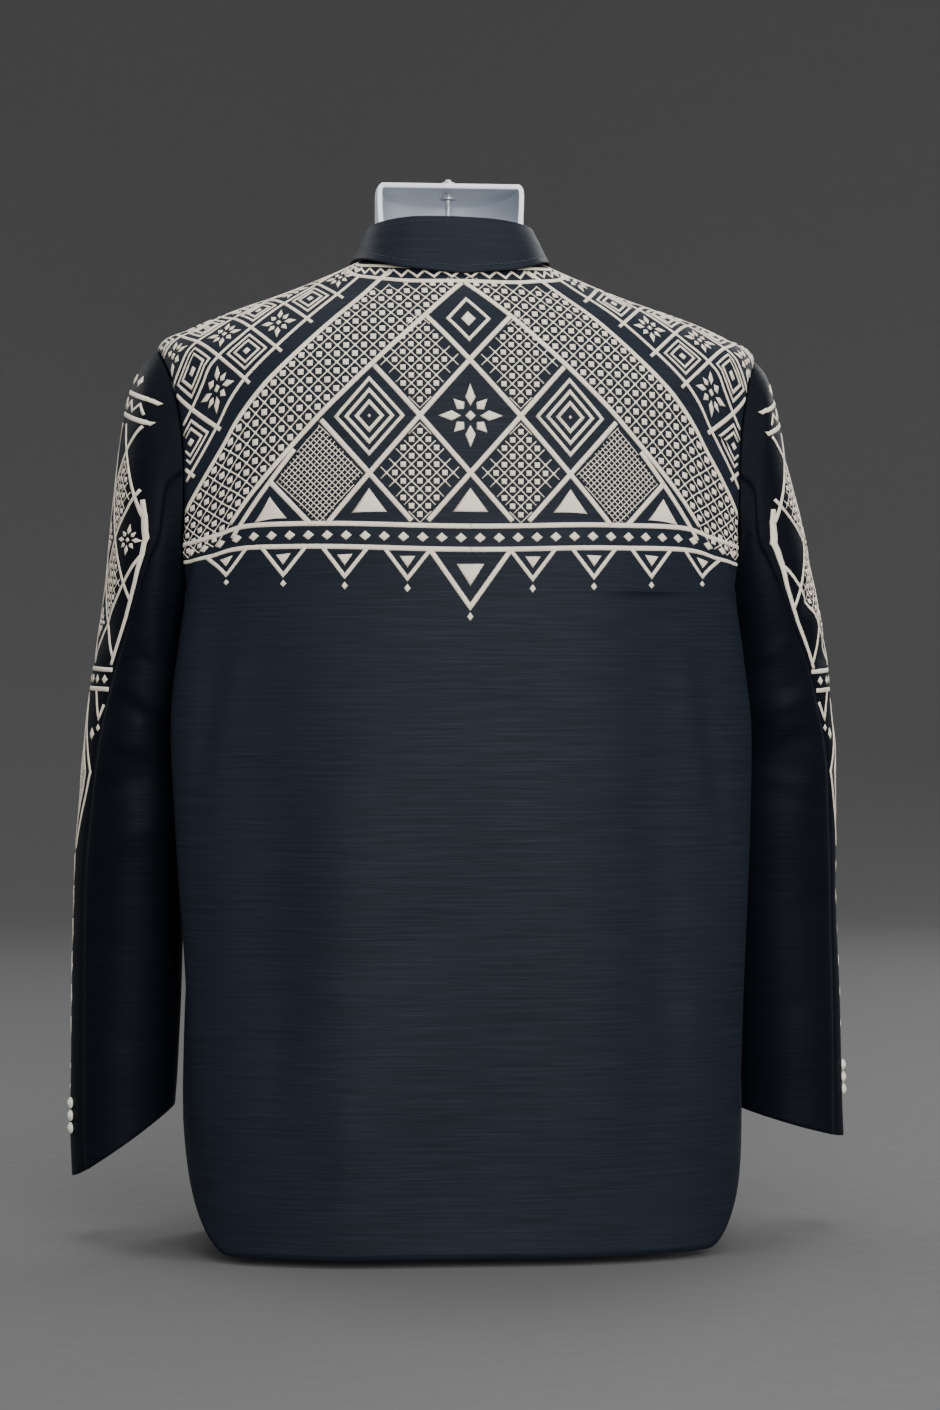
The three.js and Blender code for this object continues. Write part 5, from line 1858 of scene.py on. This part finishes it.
def studio_air(colour, strength):
    world = bpy.data.worlds.new("studio_air")
    world.use_nodes = True
    background = world.node_tree.nodes["Background"]
    background.inputs["Color"].default_value = (*colour, 1)
    background.inputs["Strength"].default_value = strength
    bpy.context.scene.world = world


class CoatClothSettings(bpy.types.PropertyGroup):
    """The coat's cloth."""

    thickness: bpy.props.FloatProperty(name="Thickness", description="Thickness of the cloth",
                                       default=CLOTH * MM, min=0.0005, max=0.004, unit="LENGTH")
    colour: bpy.props.FloatVectorProperty(name="Cloth", description="Colour of the shantung",
                                          default=(0.0088, 0.0122, 0.0190), subtype="COLOR", min=0, max=1)
    stitch_inset: bpy.props.FloatProperty(name="Stitch inset",
                                          description="Collar's topstitching from its edge",
                                          default=0.0055, min=0.001, max=0.02, unit="LENGTH")


class EmbroiderySettings(bpy.types.PropertyGroup):
    """The raised satin stitch."""

    colour: bpy.props.FloatVectorProperty(name="Thread", description="Colour of the thread",
                                          default=(0.90, 0.82, 0.69), subtype="COLOR", min=0, max=1)
    bar: bpy.props.FloatProperty(name="Bar", description="Width of the satin bars",
                                 default=0.0042, min=0.001, max=0.01, unit="LENGTH")
    height: bpy.props.FloatProperty(name="Height", description="Height of the stitching over the cloth",
                                    default=0.0006, min=0.0002, max=0.002, unit="LENGTH")
    pitch: bpy.props.FloatProperty(name="Lattice", description="Pitch of the close lattice",
                                   default=0.0095, min=0.005, max=0.03, unit="LENGTH")


class TrimSettings(bpy.types.PropertyGroup):
    """Buttons, torso and metal."""

    pearl: bpy.props.FloatVectorProperty(name="Pearl", description="Colour of the buttons",
                                         default=(0.80, 0.76, 0.66), subtype="COLOR", min=0, max=1)
    plastic: bpy.props.FloatVectorProperty(name="Torso", description="Colour of the torso's plastic",
                                           default=(0.80, 0.85, 0.94), subtype="COLOR", min=0, max=1)
    metal: bpy.props.FloatVectorProperty(name="Zinc", description="Colour of the plated metal",
                                         default=(0.72, 0.76, 0.79), subtype="COLOR", min=0, max=1)


class StudioSettings(bpy.types.PropertyGroup):
    """Floor and light."""

    paper: bpy.props.FloatVectorProperty(name="Paper", description="Colour of the floor and wall",
                                         default=(0.105, 0.105, 0.105), subtype="COLOR", min=0, max=1)
    radius: bpy.props.FloatProperty(name="Radius", description="Radius of the floor",
                                    default=5.0, min=3, max=12, unit="LENGTH")
    air: bpy.props.FloatProperty(name="Air", description="Strength of the even light",
                                 default=0.30, min=0, max=3)


class COAT_OT_cloth(bpy.types.Operator):
    """Sews the panels of the coat and lays the topstitching on the collar"""

    bl_idname = "coat.cloth"
    bl_label = "Sew the Coat"

    def execute(self, context):
        settings = context.scene.coat_cloth
        colour = tuple(settings.colour)
        cloth = shantung("navy_shantung", colour, BODY_GLOSS)
        # The sleeves wear a darker copy of the cloth, with a weaker gloss: the darkening is painted shade
        sleeve_cloth_painted_shade = shantung("navy_shantung_painted_shade", tinted(colour, SLEEVE_PAINTED_SHADE), SLEEVE_GLOSS)
        for panel in all_panels().values():
            material = sleeve_cloth_painted_shade if panel.name.startswith("sleeve") else cloth
            sew_panel(panel, settings.thickness, material)
        thread = rayon_thread("navy_thread", tinted(colour, TOPSTITCH_TONE))
        row = topstitching(PANELS["collar_fall"], settings.stitch_inset / MM)
        row.finish("collar_topstitching", thread, "coat_cloth")
        return {"FINISHED"}


class COAT_OT_embroidery(bpy.types.Operator):
    """Works the raised embroidery on the yoke, the fronts and the sleeves"""

    bl_idname = "coat.embroidery"
    bl_label = "Embroider the Coat"

    def execute(self, context):
        settings = context.scene.coat_embroidery
        thread = rayon_thread("cream_thread", tuple(settings.colour))
        sizes = (settings.bar / MM, settings.height / MM, settings.pitch / MM)
        makers = {
            "back": back_embroidery,
            "front_left": front_embroidery,
            "front_right": front_embroidery,
            "sleeve_top_left": sleeve_embroidery,
            "sleeve_top_right": sleeve_embroidery,
        }
        for name, make in makers.items():
            make(all_panels()[name], *sizes).finish(name + "_embroidery", thread)
        return {"FINISHED"}


class COAT_OT_sheets(bpy.types.Operator):
    bl_idname = "coat.sheets"
    bl_label = "State the Cut"

    def execute(self, context):
        for panel in all_panels().values():
            panel.flat_size()
            panel.flat_area()
        return {"FINISHED"}


class COAT_OT_buttons(bpy.types.Operator):
    """Sets the pearly buttons on the left front and on both cuffs"""

    bl_idname = "coat.buttons"
    bl_label = "Set the Buttons"

    def execute(self, context):
        material = pearl("pearl", tuple(context.scene.coat_trim.pearl))
        panels = all_panels()
        pearl_buttons("front_button_", panels["front_left"], FRONT_BUTTON, material)
        pearl_buttons("cuff_button_left_", panels["sleeve_top_left"], CUFF_BUTTON, material)
        pearl_buttons("cuff_button_right_", panels["sleeve_top_right"], CUFF_BUTTON, material)
        return {"FINISHED"}


class COAT_OT_torso(bpy.types.Operator):
    """Moulds the hollow-backed torso that the coat rests on"""

    bl_idname = "coat.torso"
    bl_label = "Mould the Torso"

    def execute(self, context):
        bare_torso(milky_plastic("milky_plastic", tuple(context.scene.coat_trim.plastic)))
        return {"FINISHED"}


class COAT_OT_hanger(bpy.types.Operator):
    """Makes the hanger stud and its two flanged nuts"""

    bl_idname = "coat.hanger"
    bl_label = "Make the Stud and Nuts"

    def execute(self, context):
        material = zinc_plate("zinc_plate", tuple(context.scene.coat_trim.metal))
        threaded_stud(material)
        flanged_nut("hanger_nut_top", material)
        flanged_nut("hanger_nut_under", material)
        return {"FINISHED"}


class COAT_OT_studio(bpy.types.Operator):
    """Sets up the grey floor, the soft lights and the photograph's camera"""

    bl_idname = "coat.studio"
    bl_label = "Set the Studio"

    def execute(self, context):
        settings = context.scene.coat_studio
        studio_sweep(settings.radius, studio_paper("studio_paper", tuple(settings.paper)))
        studio_lights()
        studio_air(AIR_COLOUR, settings.air)
        photo_camera()
        return {"FINISHED"}


class COAT_PT_sidebar(bpy.types.Panel):
    """Sizes, colours and steps of the coat"""

    bl_idname = "COAT_PT_sidebar"
    bl_label = "Barong Coat"
    bl_space_type = "VIEW_3D"
    bl_region_type = "UI"
    bl_category = "Coat"

    def draw(self, context):
        layout = self.layout
        for group in ("coat_cloth", "coat_embroidery", "coat_trim", "coat_studio"):
            settings = getattr(context.scene, group)
            box = layout.box()
            for name in settings.__annotations__:
                box.prop(settings, name)
        for operator in STEPS:
            layout.operator(operator.bl_idname)


GROUPS = {
    "coat_cloth": CoatClothSettings,
    "coat_embroidery": EmbroiderySettings,
    "coat_trim": TrimSettings,
    "coat_studio": StudioSettings,
}
STEPS = (COAT_OT_studio, COAT_OT_cloth, COAT_OT_embroidery, COAT_OT_sheets, COAT_OT_buttons, COAT_OT_torso,
         COAT_OT_hanger)


def register():
    for group in GROUPS.values():
        bpy.utils.register_class(group)
    for step in STEPS:
        bpy.utils.register_class(step)
    bpy.utils.register_class(COAT_PT_sidebar)
    for name, group in GROUPS.items():
        setattr(bpy.types.Scene, name, bpy.props.PointerProperty(type=group))


def unregister():
    for name in GROUPS:
        delattr(bpy.types.Scene, name)
    bpy.utils.unregister_class(COAT_PT_sidebar)
    for step in reversed(STEPS):
        bpy.utils.unregister_class(step)
    for group in reversed(list(GROUPS.values())):
        bpy.utils.unregister_class(group)


def main():
    register()
    bpy.ops.coat.studio()
    bpy.ops.coat.cloth()
    bpy.ops.coat.embroidery()
    bpy.ops.coat.sheets()
    bpy.ops.coat.buttons()
    bpy.ops.coat.torso()
    bpy.ops.coat.hanger()
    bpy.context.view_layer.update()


if __name__ == "__main__":
    main()
